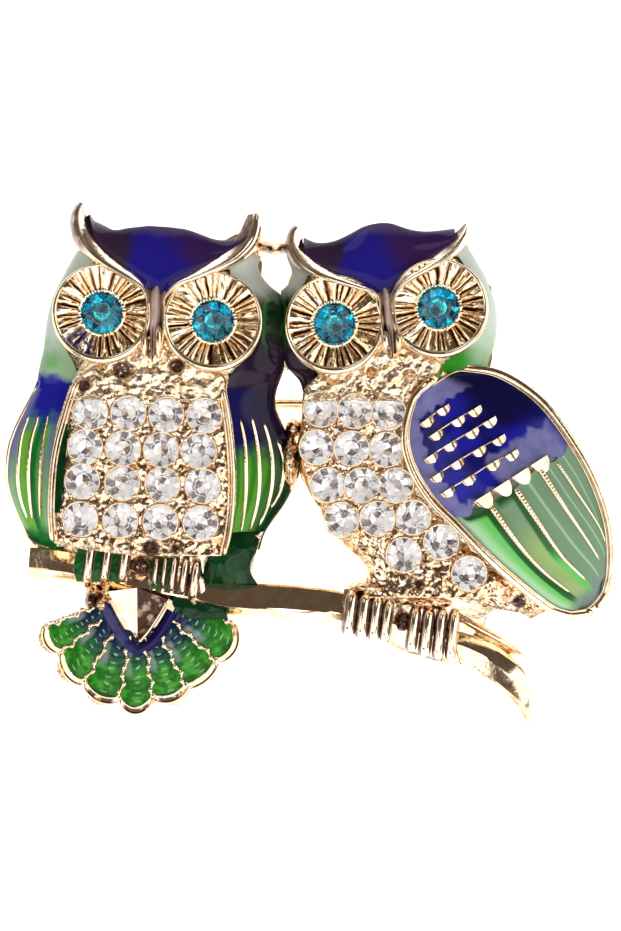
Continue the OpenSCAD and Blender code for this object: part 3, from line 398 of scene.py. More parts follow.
# %% Coordinates for finishes
class Ground:
    """Where a shaded point lies: x and y on the drawing's grid, and s and t on its strip."""

    def __init__(self, flow):
        place = flow.node("ShaderNodeTexCoord").output(3)
        home = turn.to_3x3().inverted() @ -shift
        self.flat = flow.node("ShaderNodeMapping", {"vector_type": "POINT"},
                              {0: place, 1: home, 2: (-tilt, 0, 0), 3: (1000, 1000, 1000)})
        parts = flow.node("ShaderNodeSeparateXYZ", None, {0: self.flat})
        self.x = parts / MM + ZERO_X
        self.y = ZERO_Y - parts.output(1) / MM
        uv = flow.node("ShaderNodeUVMap", {"uv_map": "UVMap"})
        uv = flow.node("ShaderNodeSeparateXYZ", None, {0: uv})
        self.s, self.t = uv, uv.output(1)
        self.flow = flow

    def cloud(self, size, detail=2.0):
        """Soft noise between 0 and 1 with lumps of this size in mm."""
        return self.flow.node("ShaderNodeTexNoise", None,
                              {"Vector": self.flat, "Scale": 1 / size, "Detail": detail})

    def near(self, x, y, inner, outer):
        """1 within the inner distance of a place of the grid, 0 past the outer one."""
        dx, dy = self.x - x, self.y - y
        return (dx * dx + dy * dy).math("SQRT").span(inner, outer, 1, 0)


# %% [markdown]
# Pale gold plating is a warm metal: nearly mirror-like, and rougher where the casting was not polished.
# Where it has dents, painted shade turns their hollows a deeper red. One recipe makes the polished gold of
# rims and lines, the cast gold of the ground, and the grained gold between the stones; it can also paint
# shade or a dull patch over the metal.

# %% Gold finishes
# The third gold is painted shade, for the hollows of dents.
PALE_GOLD, DEEP_GOLD, HOLLOW_SHADE_GOLD = (0.97, 0.83, 0.66), (0.93, 0.70, 0.44), (0.50, 0.22, 0.09)
# Both are painted shade on the eye discs: amber on one side of each disc, umber in the gaps between flutes.
AMBER_SHADE, FLUTE_GAP_SHADE = (0.88, 0.60, 0.30), (0.16, 0.055, 0.02)
# The violet is a dull patch on one eye disc; the brown is painted shade in hollows, on feather tips and on
# the keel.
VIOLET_PATCH, PAINTED_SHADE_BROWN = (0.06, 0.03, 0.18), (0.06, 0.018, 0.008)


def gold(name, roughness, grain, size, dents=0.0, hollow_shade=0.0, dark_cover=None, tints=(),
         cover_colour=VIOLET_PATCH):
    """Plated gold; tints are (mask, colour) pairs. A cover mask paints a dull colour over the metal:
    painted shade in hollows, on feather tips and on the keel, and a violet patch on one eye disc. The
    hollows of dents get painted shade too, a deeper red gold.
    """
    finish, flow, shader = start_finish(name)
    ground = Ground(flow)
    fine = ground.cloud(size, 4.0)
    relief = fine * grain
    colour = ground.cloud(0.9, 3.0).span(0.35, 0.65).blend(PALE_GOLD, DEEP_GOLD)
    if dents:
        cells = flow.node("ShaderNodeTexVoronoi", {"feature": "SMOOTH_F1"},
                          {"Vector": ground.flat, "Scale": 2.4, "Smoothness": 0.5})
        relief = relief - cells * dents
        # Painted shade: the hollows of the dents turn a deeper red gold.
        colour = cells.span(0.3, 0.75, 0, hollow_shade).blend(colour, HOLLOW_SHADE_GOLD)
    for mask, tint in tints:
        colour = mask(ground).blend(colour, tint)
    metal = 1.0
    # Painted over the metal, dull: painted shade, and on one eye disc a violet patch.
    if dark_cover:
        mask = dark_cover(ground)
        colour = mask.blend(colour, cover_colour)
        metal = 1 - mask * 0.8
    set_shader(flow, shader, Base_Color=colour, Metallic=metal, Normal=relief.bump(),
               Roughness=fine.span(0.3, 0.7, roughness, roughness * 1.8))
    return finish


polished_gold = gold("polished_gold", 0.08, 0.10, 0.3)
cast_gold = gold("cast_gold", 0.14, 0.4, 0.3)
SHADE_PITS = [  # x, y, and the distances where the painted shade is full and where it ends
    (151, 548, 5, 11), (141, 567, 5, 11), (176, 549, 2, 6), (403, 622, 5, 12), (84, 386, 3, 9),
    (90, 600, 3, 10), (121, 370, 6, 11), (177, 366, 4, 9), (520, 602, 3, 9), (420, 585, 2, 8),
    (269, 249, 1, 6), (283, 249, 1, 6)]


def pit_shade(ground):
    """1 where painted shade darkens the hollows of the rough metal, such as those between the feet."""
    mask = sum(ground.near(*pit) for pit in SHADE_PITS)
    return (mask * 1.5).math("MINIMUM", 1.0) * ground.cloud(0.3).span(0.30, 0.42)


# Both get painted shade in the hollows of their dents and in the dark hollows listed above.
grained_gold = gold("grained_gold", 0.10, 0.22, 0.3, 0.7, 0.65, dark_cover=pit_shade, cover_colour=PAINTED_SHADE_BROWN)
collar_gold = gold("collar_gold", 0.18, 0.3, 0.3, 0.25, 0.35, dark_cover=pit_shade, cover_colour=PAINTED_SHADE_BROWN)
# The eye discs get painted shade, amber on one side and umber in the gaps between the flutes, and a dull
# violet patch on one disc.
fluted_gold = gold(
    "fluted_gold", 0.10, 0.3, 0.25, dark_cover=lambda g: g.near(80, 347, 12, 24) * g.cloud(0.5).span(0.42, 0.55),
    tints=[(lambda g: (g.t * 6.283 + 0.6).math("COSINE").span(-0.3, 0.8, 0, 0.55), AMBER_SHADE),
           (lambda g: g.s.span(0.30, 0.80, 0.9, 0), FLUTE_GAP_SHADE)])
print("gold finishes", polished_gold.name, cast_gold.name, grained_gold.name, fluted_gold.name)


# %% [markdown]
# Enamel is coloured glass or resin with a smooth surface: a deep colour below, and a clear gloss on top
# that shows as a coat. Its colour is brushed in by hand, so it runs from one colour to the next and is
# never quite even; a slow noise stands for that.

# %% Enamel finishes
# The palest green is pale enamel with a painted whitish sheen on it.
INDIGO, NIGHT, PALE_GREEN_AND_SHEEN = (0.018, 0.012, 0.24), (0.010, 0.005, 0.030), (0.66, 0.76, 0.70)
# The lavender is a painted sheen.
ROYAL, LAVENDER_SHEEN = (0.016, 0.016, 0.33), (0.20, 0.20, 0.42)
LEAF, FOREST, BOTTLE = (0.030, 0.27, 0.015), (0.006, 0.09, 0.008), (0.004, 0.035, 0.010)
SPRING, SAGE, TEAL = (0.14, 0.60, 0.12), (0.20, 0.34, 0.20), (0.006, 0.025, 0.06)
MINT, SLATE, JADE = (0.42, 0.74, 0.40), (0.22, 0.29, 0.27), (0.010, 0.15, 0.04)


def enamel(ripple=0.4):
    """Makes a glossy enamel of each function below, which gives its base colour from g, the ground, and
    c, a slow cloud. The finish takes the function's name."""
    def made(colour):
        finish, flow, shader = start_finish(colour.__name__)
        ground = Ground(flow)
        wave = ground.cloud(0.8, 1.0) * ripple
        set_shader(flow, shader, Base_Color=colour(ground, ground.cloud(1.1)), Roughness=0.5,
                   Normal=wave.bump(), Coat_Weight=1.0, Coat_Roughness=0.03, Coat_IOR=1.27,
                   Specular_IOR_Level=0.0)
        return finish

    return made


@enamel()
def crown_blue(g, c):
    """Indigo, brown-black to the left and purple to the right; a dull grey-violet haze on the upper edge is
    a painted reflection.
    """
    left = (g.t + c * 0.05 - g.s * 0.05).span(0.22, 0.30, 1, 0)
    right = (g.t + c * 0.2 + g.s * 0.15).span(0.66, 0.86)
    body = right.blend(left.blend(INDIGO, (0.035, 0.018, 0.045)), (0.040, 0.014, 0.090))
    # Painted reflection: a grey-violet haze along the upper edge.
    return (g.s + c * 0.1).span(0.84, 1.06).blend(body, (0.11, 0.085, 0.17))


@enamel()
def wing_enamel(g, c):
    """A side wing: blue on the shoulder, green below with a light first channel, and a painted sheen,
    lavender to pale green, along both edges.
    """
    s = g.s + c * 0.06 - 0.03
    green = s.span(0.58, 0.72).blend((0.012, 0.16, 0.03), (0.14, 0.48, 0.10))
    green = s.span(0.46, 0.52).blend((0.16, 0.48, 0.05), green)
    # Painted sheen: lavender high up and pale green lower down, along both edges of the wing.
    pale = (g.y + c * 30 - 15).span(430, 520).blend(LAVENDER_SHEEN, (0.36, 0.62, 0.36))
    edges = s.span(0.08, 0.24, 1, 0) + s.span(0.74, 0.84, 0, 0.75)
    green = edges.blend(green, pale)
    # Painted sheen in lavender along the outer edge of the shoulder.
    top = s.span(0.05, 0.25).blend(LAVENDER_SHEEN, ROYAL)
    low = (g.y + c * 40 - 20).span(405, 440).blend(top, green)
    return (g.y + c * 24 - 12).span(522, 540).blend(low, (0.008, 0.16, 0.03))


@enamel()
def inner_wing_enamel(g, c):
    """The inner wing: purple to black on the shoulder, green below, darker towards the neighbour, where
    painted shade deepens the dark enamel.
    """
    # Painted shade darkens the wing towards the neighbouring owl.
    top = g.s.span(0.1, 0.7).blend((0.012, 0.010, 0.10), NIGHT)
    low = g.s.span(0.35, 0.8).blend((0.10, 0.36, 0.03), BOTTLE)
    low = ((g.s * 26).math("SINE").span(0.2, 0.9) * 0.6).blend(low, (0.012, 0.12, 0.015))
    low = (g.y + c * 30).span(455, 482).blend(top, low)
    return (g.y + c * 20).span(545, 570).blend(low, FOREST)


@enamel()
def outer_cheek_enamel(g, c):
    """Pale green, with a painted whitish sheen high up, a brighter drop, and royal blue where the left
    cheek meets the wing.
    """
    # Painted sheen: whitish pale green on the upper cheek.
    pale = (g.y + c * 30).span(335, 375).blend(PALE_GREEN_AND_SHEEN, (0.32, 0.50, 0.30))
    drop = (g.near(52, 362, 2, 10) * 0.7).blend(pale, (0.18, 0.50, 0.14))
    drop = g.near(452, 364, 10, 34).blend(drop, LEAF)
    below = g.y - g.x * 0.25 + c * 16
    return (below * g.x.span(100, 200, 1, 0)).span(367, 375).blend(drop, ROYAL)


@enamel()
def inner_cheek_enamel(g, c):
    """A pale patch beside the gap of the heads, then dark green, then purple-black below."""
    dark = (g.y + c * 30).span(325, 370).blend(BOTTLE, (0.022, 0.010, 0.030))
    streak = (g.x * 0.35 + c * 6).math("SINE")
    leaf = streak.span(0.3, 1.0, 0, 0.7) * g.y.span(330, 360, 1, 0)
    dark = leaf.blend(dark, (0.03, 0.16, 0.02))
    return (g.y + c * 16).span(290, 312).blend((0.62, 0.68, 0.64), dark)


@enamel(0.9)
def tail_green(g, c):
    """Nearly black teal at the root of a feather (t = 0), green outwards, a painted grey sheen on its left,
    and painted glints along its middle.
    """
    green = g.cloud(0.7).span(0.42, 0.62).blend((0.016, 0.17, 0.010), (0.06, 0.36, 0.03))
    body = (g.t + c * 0.3).span(0.42, 0.82).blend(TEAL, green)
    # Painted sheen, grey, on the left of each feather.
    sheen = g.t.span(0.22, 0.34) * g.t.span(0.5, 0.68, 1, 0)
    sheen = (g.s + c * 0.3).span(0.35, 0.52, 1, 0) * sheen
    body = (sheen * 0.8).blend(body, (0.26, 0.34, 0.32))
    # Painted glints along the middle of each feather.
    middle = (g.s - 0.55).math("ABSOLUTE").span(0.05, 0.12, 1, 0)
    glints = (g.t * 60 + c * 9).math("SINE").span(0.72, 0.9)
    return (middle * glints * 0.6).blend(body, (0.45, 0.75, 0.40))


@enamel()
def blue_wing(g, c):
    """Ultramarine, nearly black at the upper right; a lavender haze of painted sheen on the left, on top
    and above the scallops. s runs across the wing, t from the scallops to the shoulder."""
    s, t = g.s + c * 0.06 - 0.03, g.t + c * 0.06 - 0.03
    deep = (s.span(0.45, 0.75) * t.span(0.3, 0.5)).blend(ROYAL, (0.006, 0.005, 0.05))
    deep = (g.cloud(2.4, 1.0).span(0.45, 0.62) * 0.75).blend(deep, (0.006, 0.005, 0.06))
    wave = (s * 50).math("SINE") * 0.012
    left = (s + (t * 60).math("SINE") * 0.012).span(0.10, 0.13, 1, 0)
    top = (t + wave).span(0.83, 0.86) * s.span(0.62, 0.82, 1, 0)
    low = (t + wave).span(0.26, 0.31, 1, 0) * s.span(0.40, 0.46) + t.span(0.05, 0.08, 1, 0)
    # Painted sheen: a lavender haze along the left border, the top and above the scallops.
    haze = (left + top + low).math("MINIMUM", 1.0) * s.span(0.93, 1.0, 1, 0.25)
    return (haze * g.cloud(0.9).span(0.3, 0.6, 0.75, 1.0)).blend(deep, LAVENDER_SHEEN)


@enamel()
def vane_green(g, c):
    """Vane 0 is bright green, vane 1 grey green with a painted highlight of yellow green lower down, the
    others grey green. Painted shade darkens the first two beside their gold line and under the scallops,
    and the border and the tip are slate. The number of the vane is added to s."""
    vane, t = g.s, g.t
    across = vane.math("FRACT")
    first, second = vane.span(0.98, 1.02, 1, 0), vane.span(1.98, 2.02, 1, 0)
    body = across.span(0.2, 0.6).blend(MINT, SPRING)
    # Painted highlight: vane 1 turns yellow green lower down.
    later = (t.span(0.15, 0.55) * second).blend(SAGE, (0.36, 0.52, 0.20))
    later = (across.span(0.5, 0.8) * t.span(0.3, 0.6) * second).blend(later, SPRING)
    streak = (across - 0.45 - t * 0.15).math("ABSOLUTE").span(0.02, 0.07, 1, 0)
    later = (streak * (1 - second) * 0.7).blend(later, (0.45, 0.66, 0.45))
    body = first.blend(later, body)
    # Painted shade: the first two vanes darken beside their gold line.
    deep = (across + t * 0.12).span(0.70, 0.80) * (first + second * (1 - first) * t.span(0.5, 0.7, 0.9, 0))
    body = (deep * t.span(0.93, 1.0, 1, 0)).blend(body, (0.006, 0.10, 0.010))
    rim = t.span(0.90, 1.0) + (vane + c * 0.08).span(0.04, 0.20, 1, 0) + vane.span(4.99, 5.01)
    # Painted shade under the scallops, on the first two vanes.
    root = t.span(0.02, 0.10, 1, 0) * (first + second) * across.span(0.05, 0.3)
    body = root.math("MINIMUM", 1.0).blend(body, (0.004, 0.07, 0.008))
    return rim.math("MINIMUM", 1.0).blend(body, SLATE)


@enamel()
def flank_green(g, c):
    return c.span(0.25, 0.7).blend((0.005, 0.065, 0.010), (0.003, 0.022, 0.008))


@enamel(0.8)
def tail_blue(g, c):
    """Deep blue, with a lavender haze of painted sheen on its left arm."""
    # Painted sheen in lavender on the left arm.
    haze = g.x.span(128, 140, 1, 0) * c.span(0.35, 0.6)
    return haze.blend((0.010, 0.007, 0.08), (0.055, 0.055, 0.17))


@enamel(0.6)
def claw_green(g, c):
    """Green between the claws, nearly black below the branch."""
    return g.y.span(592, 600).blend(c.span(0.4, 0.6).blend(FOREST, JADE), BOTTLE)


print("enamels", len([m for m in bpy.data.materials if m.name.endswith(("enamel", "green", "blue"))]))


# %% [markdown]
# The stones are cut glass with a mirror foil behind. The crown is clear glass and the foiled back is a
# mirror, so light goes in, turns round and comes out between the facets, as in the real thing. The foil
# also carries painted reflections: each facet gets a brightness, and a faint glow of painted light.

# %% Stone finishes
def glass(name, colour, ior):
    finish, flow, shader = start_finish(name)
    set_shader(flow, shader, Base_Color=colour, Roughness=0.0, IOR=ior, Transmission_Weight=1.0)
    return finish


def foil(name, bright, middling, dark, mirror, glow):
    """Mirror foil behind a stone, with painted reflections: the facets take one of three brightnesses, kept
    in the UV map's s. The bright ones are less of a mirror and more of a white, and a glow of painted light
    stands for each facet giving back light from all round."""
    finish, flow, shader = start_finish(name)
    s = Ground(flow).s
    colour = s.span(0.14, 0.16).blend(dark, s.span(0.44, 0.46).blend(middling, bright))
    # Painted reflections and painted light: each facet's colour and glow follow its given brightness.
    set_shader(flow, shader, Base_Color=colour, Metallic=s.span(0.44, 0.46, 0.9, mirror), Roughness=0.03,
               Emission_Color=colour, Emission_Strength=glow)
    return finish


clear_glass = glass("clear_glass", (1.0, 1.0, 1.0), 1.48)
clear_foil = foil("clear_foil", (1.0, 1.0, 1.0), (0.80, 0.77, 0.78), (0.26, 0.22, 0.22), 0.35, 0.24)
teal_glass = glass("teal_glass", (0.35, 0.90, 1.0), 1.56)
teal_foil = foil("teal_foil", (0.06, 0.85, 1.0), (0.02, 0.34, 0.48), (0.004, 0.07, 0.13), 0.75, 0.05)

# %% [markdown]
# The floor is a plain white sheet. The light is that of a light tent with a few large lamps round it:
# bright in front, below and to the right, dim above and to the left, so that gold shows cream where it
# faces the lamps and brown where it turns away. Each lamp is a direction, a half width and a strength.

# %% Floor, light and camera
bpy.ops.mesh.primitive_plane_add(size=1.2)
floor = bpy.context.object
floor.name = "floor"
paper, flow, shader = start_finish("paper")
set_shader(flow, shader, Base_Color=(0.9, 0.9, 0.9), Roughness=0.9, Emission_Color=(1, 1, 1),
           Emission_Strength=0.85)
floor.data.materials.append(paper)

TENT = [  # direction to the lamp in the drawing (right, up, out), cosine of its half width, strength
    ((0.20, -0.75, 0.75), 0.83, 1.7),
    ((0.85, 0.05, 0.55), 0.86, 1.7),
    ((-0.80, -0.35, 0.55), 0.90, 1.6),
    ((-0.35, 0.70, 0.65), 0.965, 1.3),
    ((0.08, -0.26, 1.00), 0.94, 1.15),
]
world = bpy.data.worlds.new("tent")
bpy.context.scene.world = world
world.use_nodes = True
sky = Flow(world.node_tree)
look = sky.node("ShaderNodeTexCoord")
rise = sky.node("ShaderNodeSeparateXYZ", None, {0: look}).output(2)
light = rise.span(-0.1, 0.4, 0.35, 0.10)
for way, width, strength in TENT:
    toward = turn.to_3x3() @ Vector(way).normalized()
    glow = sky.node("ShaderNodeVectorMath", {"operation": "DOT_PRODUCT"}, {0: look, 1: toward}, out=1)
    light += glow.span(width, mix(width, 1, 0.3), 0.0, strength)
background = world.node_tree.nodes["Background"].inputs
sky.plug(background["Color"], light.span(0.1, 0.8).blend((1.0, 0.76, 0.58), (1.0, 0.99, 0.97)))
sky.plug(background["Strength"], light)

DISTANCE = 600.0               # mm from the brooch's front to the camera
FRAME_W, FRAME_H = 621, 931    # the picture's size in steps of the grid
SENSOR = 36
camera_data = bpy.data.cameras.new("camera")
camera_data.sensor_fit = "VERTICAL"
camera_data.sensor_height = SENSOR
camera_data.lens = SENSOR * (DISTANCE - 2) / (FRAME_H * MM)
camera_data.clip_end = 10
camera = bpy.data.objects.new("camera", camera_data)
bpy.context.scene.collection.objects.link(camera)
camera.matrix_world = Matrix.Translation(LAY @ at(FRAME_W / 2, FRAME_H / 2, DISTANCE + 2)) @ turn
bpy.context.scene.camera = camera
bpy.context.scene.view_settings.view_transform = "Standard"

# %% [markdown]
# ## The bodies
# Each owl's body is a low dome between its two outlines. The tables give the outlines row by row, and
# the heights at the edge and in the middle. All that lies on a body asks it for the height there. The
# body is a shell, because the real casting is hollow behind.

# %% Bodies of the two owls
LEFT_BODY = [  # y, left edge, right edge, height at the edges, height in the middle
    [243, 82, 251, 1.5, 2.6], [250, 77, 258, 1.5, 3.1], [262, 69, 259, 1.5, 3.6], [275, 62, 262, 1.5, 3.9],
    [300, 50, 283, 1.5, 3.9], [330, 44, 284, 1.5, 3.9], [350, 42, 284, 1.4, 3.7], [370, 38, 283, 1.4, 3.5],
    [385, 36, 277, 1.3, 3.35], [400, 28, 274, 1.3, 3.3], [415, 20, 278, 1.2, 3.3], [430, 13, 285, 1.2, 3.3],
    [447, 7.5, 295, 1.15, 3.3], [467, 5, 301, 1.15, 3.3], [482, 5, 296, 1.15, 3.3],
    [495, 8, 289, 1.15, 3.3], [510, 13, 281, 1.15, 3.25], [525, 20, 270, 1.15, 3.2],
    [537, 31, 262, 1.1, 3.1], [546, 54, 256, 1.3, 3.0], [566, 74, 254, 1.6, 2.6], [583, 88, 250, 1.6, 2.0]]
RIGHT_BODY = [
    [247, 296, 468, 1.6, 2.7], [254, 296, 473, 1.6, 3.2], [262, 296, 478, 1.6, 3.6],
    [280, 288, 488, 1.6, 3.9], [300, 284, 495, 1.6, 3.9], [320, 283, 498, 1.6, 3.9],
    [340, 283, 497, 1.6, 3.9], [355, 283, 492, 1.5, 3.7], [368, 287, 488, 1.5, 3.5],
    [380, 302, 486, 1.4, 3.4], [400, 303, 478, 1.3, 3.3], [420, 300, 470, 1.3, 3.3],
    [440, 298, 468, 1.3, 3.3], [460, 300, 472, 1.3, 3.3], [480, 303, 482, 1.3, 3.3],
    [495, 310, 494, 1.3, 3.3], [510, 320, 506, 1.3, 3.3], [525, 328, 518, 1.3, 3.3],
    [540, 338, 528, 1.3, 3.3], [562, 362, 536, 1.3, 3.2], [580, 367, 537, 1.3, 3.1],
    [600, 362, 510, 1.5, 2.9], [608, 357, 480, 1.5, 2.7], [622, 348, 474, 1.6, 2.4],
    [638, 380, 470, 1.4, 1.8]]
SHELL, SUNK, DEEPER = 0.7, 0.3, 1.1     # mm: thickness, depth at the edges, and more in the middle
WALL = 9.0                              # width of the shell's wall, in steps of the grid


def body_height(rows, x, y):
    left, right, edge, middle = smooth(rows, y)
    return mix(edge, middle, arch((x - left) / (right - left)))


def left_height(x, y):
    return body_height(LEFT_BODY, x, y)


def right_height(x, y):
    return body_height(RIGHT_BODY, x, y)


def body(rows):
    """The shell of a body; it lies deeper under the middle, where the stones have their seats."""
    def height(x, y, s, t):
        return body_height(rows, x, y) - SUNK - DEEPER * arch(s, 1.0)

    def foot(p):
        x, y = on_grid(p)
        left, right = smooth(rows, y)[:2]
        walled = min(x - left, right - x, y - rows[0][0], rows[-1][0] - y) < WALL
        return FOOT if walled else p.z - SHELL

    return field(rows, height, 44, 90, base=foot, spread=lambda s, t: ((1 - math.cos(math.pi * s)) / 2, t))


piece("owl_bodies", [body(LEFT_BODY), body(RIGHT_BODY)], cast_gold, angle=40)

# %% [markdown]
# ## Breasts
# The breasts are grounds of rough, nuggety gold that carry the stones. The relief is real geometry: a
# fine grid that a fractal noise pushes in and out, finer and deeper than any bump would show.

# %% Breast grounds
LEFT_BREAST = [  # y, left, right
    [392, 72, 221], [410, 66, 224], [430, 61, 227], [450, 57, 229], [470, 54, 230], [490, 52, 231],
    [510, 52, 230], [530, 53, 229], [541, 56, 227], [550, 84, 224], [556, 128, 222]]
RIGHT_BREAST = [
    [394, 304, 417], [410, 302, 410], [430, 300, 406], [450, 299, 408], [470, 302, 413], [490, 308, 422],
    [505, 316, 433], [520, 325, 448], [535, 335, 463], [550, 349, 479], [565, 366, 496], [582, 368, 516],
    [598, 364, 512]]


def breast_height(rows, edge, middle, power, x, y):
    left, right = smooth(rows, y)
    return mix(edge, middle, arch((x - left) / (right - left), power))


def left_breast(x, y):
    return breast_height(LEFT_BREAST, 3.35, 3.95, 0.6, x, y)


def right_breast(x, y):
    return breast_height(RIGHT_BREAST, 2.5, 4.0, 0.45, x, y)


STONE, EYE_STONE = 2.6, 3.05     # mm
SEATS = {owl: [drawn(f"{owl}_stone_{k}") for k in range(1, count + 1)]
         for owl, count in (("left", 16), ("right", 15))}
SEAT_DEPTH, SEAT_WALL = 1.3, 0.12
NUGGET, NUGGET_RISE = 0.85, 0.16


def nuggets(surface, seats):
    """The rough height of a breast, with a straight-walled seat for each stone."""
    def height(x, y, s, t):
        away = min(math.dist((x, y), seat) for seat in seats) * MM
        seat = held((STONE / 2 + 0.03 - away) / SEAT_WALL) * SEAT_DEPTH
        return surface(x, y) - NUGGET_RISE - seat + rough(at(x, y), NUGGET, NUGGET_RISE)

    return height


piece("breast_grounds", [
    field(LEFT_BREAST, nuggets(left_breast, SEATS["left"]), 130, 130, base=1.6),
    field(RIGHT_BREAST, nuggets(right_breast, SEATS["right"]), 120, 150, base=0.4)],
      grained_gold, angle=180)

# %% [markdown]
# ## Stones
# A brilliant is a table, a ring of upper facets, a girdle and a pointed back. The rings of points are
# few, and their convex hull is the cut stone, which keeps every facet flat. Each stone sits where its
# CAD node is and leans with the breast below it.

# %% Cut stones and their settings
def leaning(surface, x, y, reach=12):
    """A turn that stands on the surface at this place."""
    right = at(x + reach, y, surface(x + reach, y)) - at(x - reach, y, surface(x - reach, y))
    up = at(x, y - reach, surface(x, y - reach)) - at(x, y + reach, surface(x, y + reach))
    out = right.cross(up).normalized()
    return Vector((0, 0, 1)).rotation_difference(out).to_matrix()


BRILLIANT = [  # radius and height as shares of the width, points, turn in steps
    (0.28, 0.20, 8, 0.0), (0.40, 0.125, 8, 0.5), (0.50, 0.02, 16, 0.0), (0.50, -0.02, 16, 0.0),
    (0.22, -0.24, 8, 0.5), (0.0, -0.36, 1, 0.0)]


def brilliant(middle, lean, width, spin):
    """A cut stone; its back gets the second finish, and each facet a brightness for the foil's painted
    reflections.
    """
    shape = bmesh.new()
    shape.loops.layers.uv.new("UVMap")
    for radius, height, points, off in BRILLIANT:
        for i in range(points):
            angle = 2 * math.pi * (i + off) / points + spin
            co = Vector((radius * math.cos(angle), radius * math.sin(angle), height)) * width
            shape.verts.new(middle + lean @ co)
    bmesh.ops.convex_hull(shape, input=shape.verts)
    bmesh.ops.dissolve_limit(shape, angle_limit=math.radians(0.5), verts=shape.verts, edges=shape.edges)
    bmesh.ops.recalc_face_normals(shape, faces=shape.faces)
    brightness = {}
    for face in shape.faces:
        out = lean.inverted() @ (face.calc_center_median() - middle)
        face.material_index = 1 if out.z < -0.03 * width else 0
        # Painted reflections: a wave round the stone sets each facet's brightness.
        wave = math.sin(7 * math.atan2(out.y, out.x) + 9 * spin + 19 * out.z / width)
        brightness[face] = 0.5 + 0.5 * wave
    return marked(shape, lambda face, s, t: brightness[face])


settings = []
for owl, surface in (("left", left_breast), ("right", right_breast)):
    for k, (x, y) in enumerate(SEATS[owl], 1):
        node = f"{owl}_stone_{k}"
        lean = leaning(surface, x, y)
        middle = at(x, y, surface(x, y) + 0.02)
        piece(node + "_cut", [brilliant(middle, lean, STONE, 0.4 * k)], [clear_glass, clear_foil],
              [node], angle=1)
        settings.append(ring(middle + Vector((0, 0, 0.02)), STONE / 2 + 0.02, 0.07, 40, 6, flat=1.3))
        for q in range(4):
            turn_by = math.pi / 2 * q + math.pi / 4 + 0.12 * math.sin(5 * k)
            foot = middle + lean @ Vector((math.cos(turn_by), math.sin(turn_by), 0)) * (STONE / 2 + 0.05)
            settings.append(bead(foot + Vector((0, 0, 0.10)), 0.19))
piece("stone_settings", settings, polished_gold, angle=40)

# %% [markdown]
# ## Eyes
# Round each eye stone lies a disc of about thirty rounded flutes, like a cut melon, inside a thick
# smooth rim. The disc is one polar grid: the height at each point is a shallow dish plus the flute.

# %% Fluted eye discs
FLUTES = 28
DISC_IN, DISC_OUT = 1.55, 3.54        # mm
DISH, DISH_RISE, FLUTE_RISE = 3.9, 0.46, 0.46
INNER_RING, BEADS = 1.68, 22          # the beaded ring round the stone


def flute(t, k):
    """0 in the gap between two flutes, 1 on the crest of one; t runs round the disc."""
    angle = 2 * math.pi * t
    warped = angle + 0.07 * math.sin(5 * angle + 2.1 * k) + 0.04 * math.sin(11 * angle + k)
    return abs(math.sin(FLUTES / 2 * warped)) ** 0.5


def eye_disc(middle, k):
    """A fluted disc; its UV map's s is kept for how high on a flute a point lies."""
    def place(s, t):
        angle = 2 * math.pi * t
        lobe = flute(t, k)
        swell = math.sin(math.pi * (0.12 + 0.76 * s)) ** 0.5
        tall = 1 + 0.35 * math.sin(4 * angle + 1.3 * k) * math.sin(7 * angle)
        z = DISH + DISH_RISE * s * s + FLUTE_RISE * lobe * swell * tall
        z += rough(Vector((5 * k, 4 * math.sin(angle), 4 * math.cos(angle) + s)), 0.45, 0.12 * swell)
        out = mix(DISC_IN, DISC_OUT, s)
        return Vector((middle.x + out * math.cos(angle), middle.y + out * math.sin(angle), z))

    disc = patch(14, FLUTES * 8, place, base=2.0, wrap=True)
    return marked(disc, lambda face, s, t: flute(t, k))


def rim_wire(t):
    """An eye's rim is thick below and thin under the brow."""
    return 0.20 - 0.09 * math.sin(2 * math.pi * t)


discs, eye_rims = [], []
for k in range(1, 5):
    node = f"eye_stone_{k}"
    middle = at(*drawn(node))
    discs.append(eye_disc(middle, k))
    high = middle + Vector((0, 0, DISH + DISH_RISE + 0.12))
    eye_rims.append(ring(high, DISC_OUT + 0.03, rim_wire, 96, 12, flat=1.15))
    eye_rims.append(ring(middle + Vector((0, 0, DISH + 0.28)), INNER_RING, 0.15, BEADS * 8, 8, BEADS, 0.3))
    cut = brilliant(middle + Vector((0, 0, DISH + 0.12)), Matrix.Identity(3), EYE_STONE, 0.3 * k)
    piece(node + "_cut", [cut], [teal_glass, teal_foil], [node], angle=1)
piece("eye_discs", discs, fluted_gold)
piece("eye_rims", eye_rims, polished_gold, angle=40)

# %% [markdown]
# ## Brows, ears and beaks
# Each brow is a smooth ridge that starts beside the beak, swings up over the eye and ends as the ear.
# Its crest is a bright band beside the eye, and a long slope falls from it to the crown. That slope and
# the left of the ears get painted shade, a browner, duller tint, as do the middle of each beak and the
# flanks of the claws. The beak is a grooved bar, wider at its tip.

# %% Brow and beak finishes
# Painted shade: a browner, duller tint for the brow slopes and ears, the beaks and the claws' flanks.
BROW_SHADE, BEAK_SHADE, CLAW_SHADE = (0.20, 0.125, 0.085), (0.52, 0.40, 0.38), (0.14, 0.055, 0.03)


def shaded_gold(name, shade_mask, tint, dull=0.65):
    """Polished gold with painted shade, a duller, browner tint, where the given mask is 1."""
    finish, flow, shader = start_finish(name)
    ground = Ground(flow)
    fine = ground.cloud(0.3, 4.0)
    mask = shade_mask(ground) * ground.cloud(0.7).span(0.3, 0.5, 0.6, 1.0)
    set_shader(flow, shader, Base_Color=mask.blend(PALE_GOLD, tint), Metallic=1 - mask * dull,
               Normal=(fine * 0.15).bump(), Roughness=fine.span(0.3, 0.7, 0.07, 0.16) + mask * 0.12)
    return finish


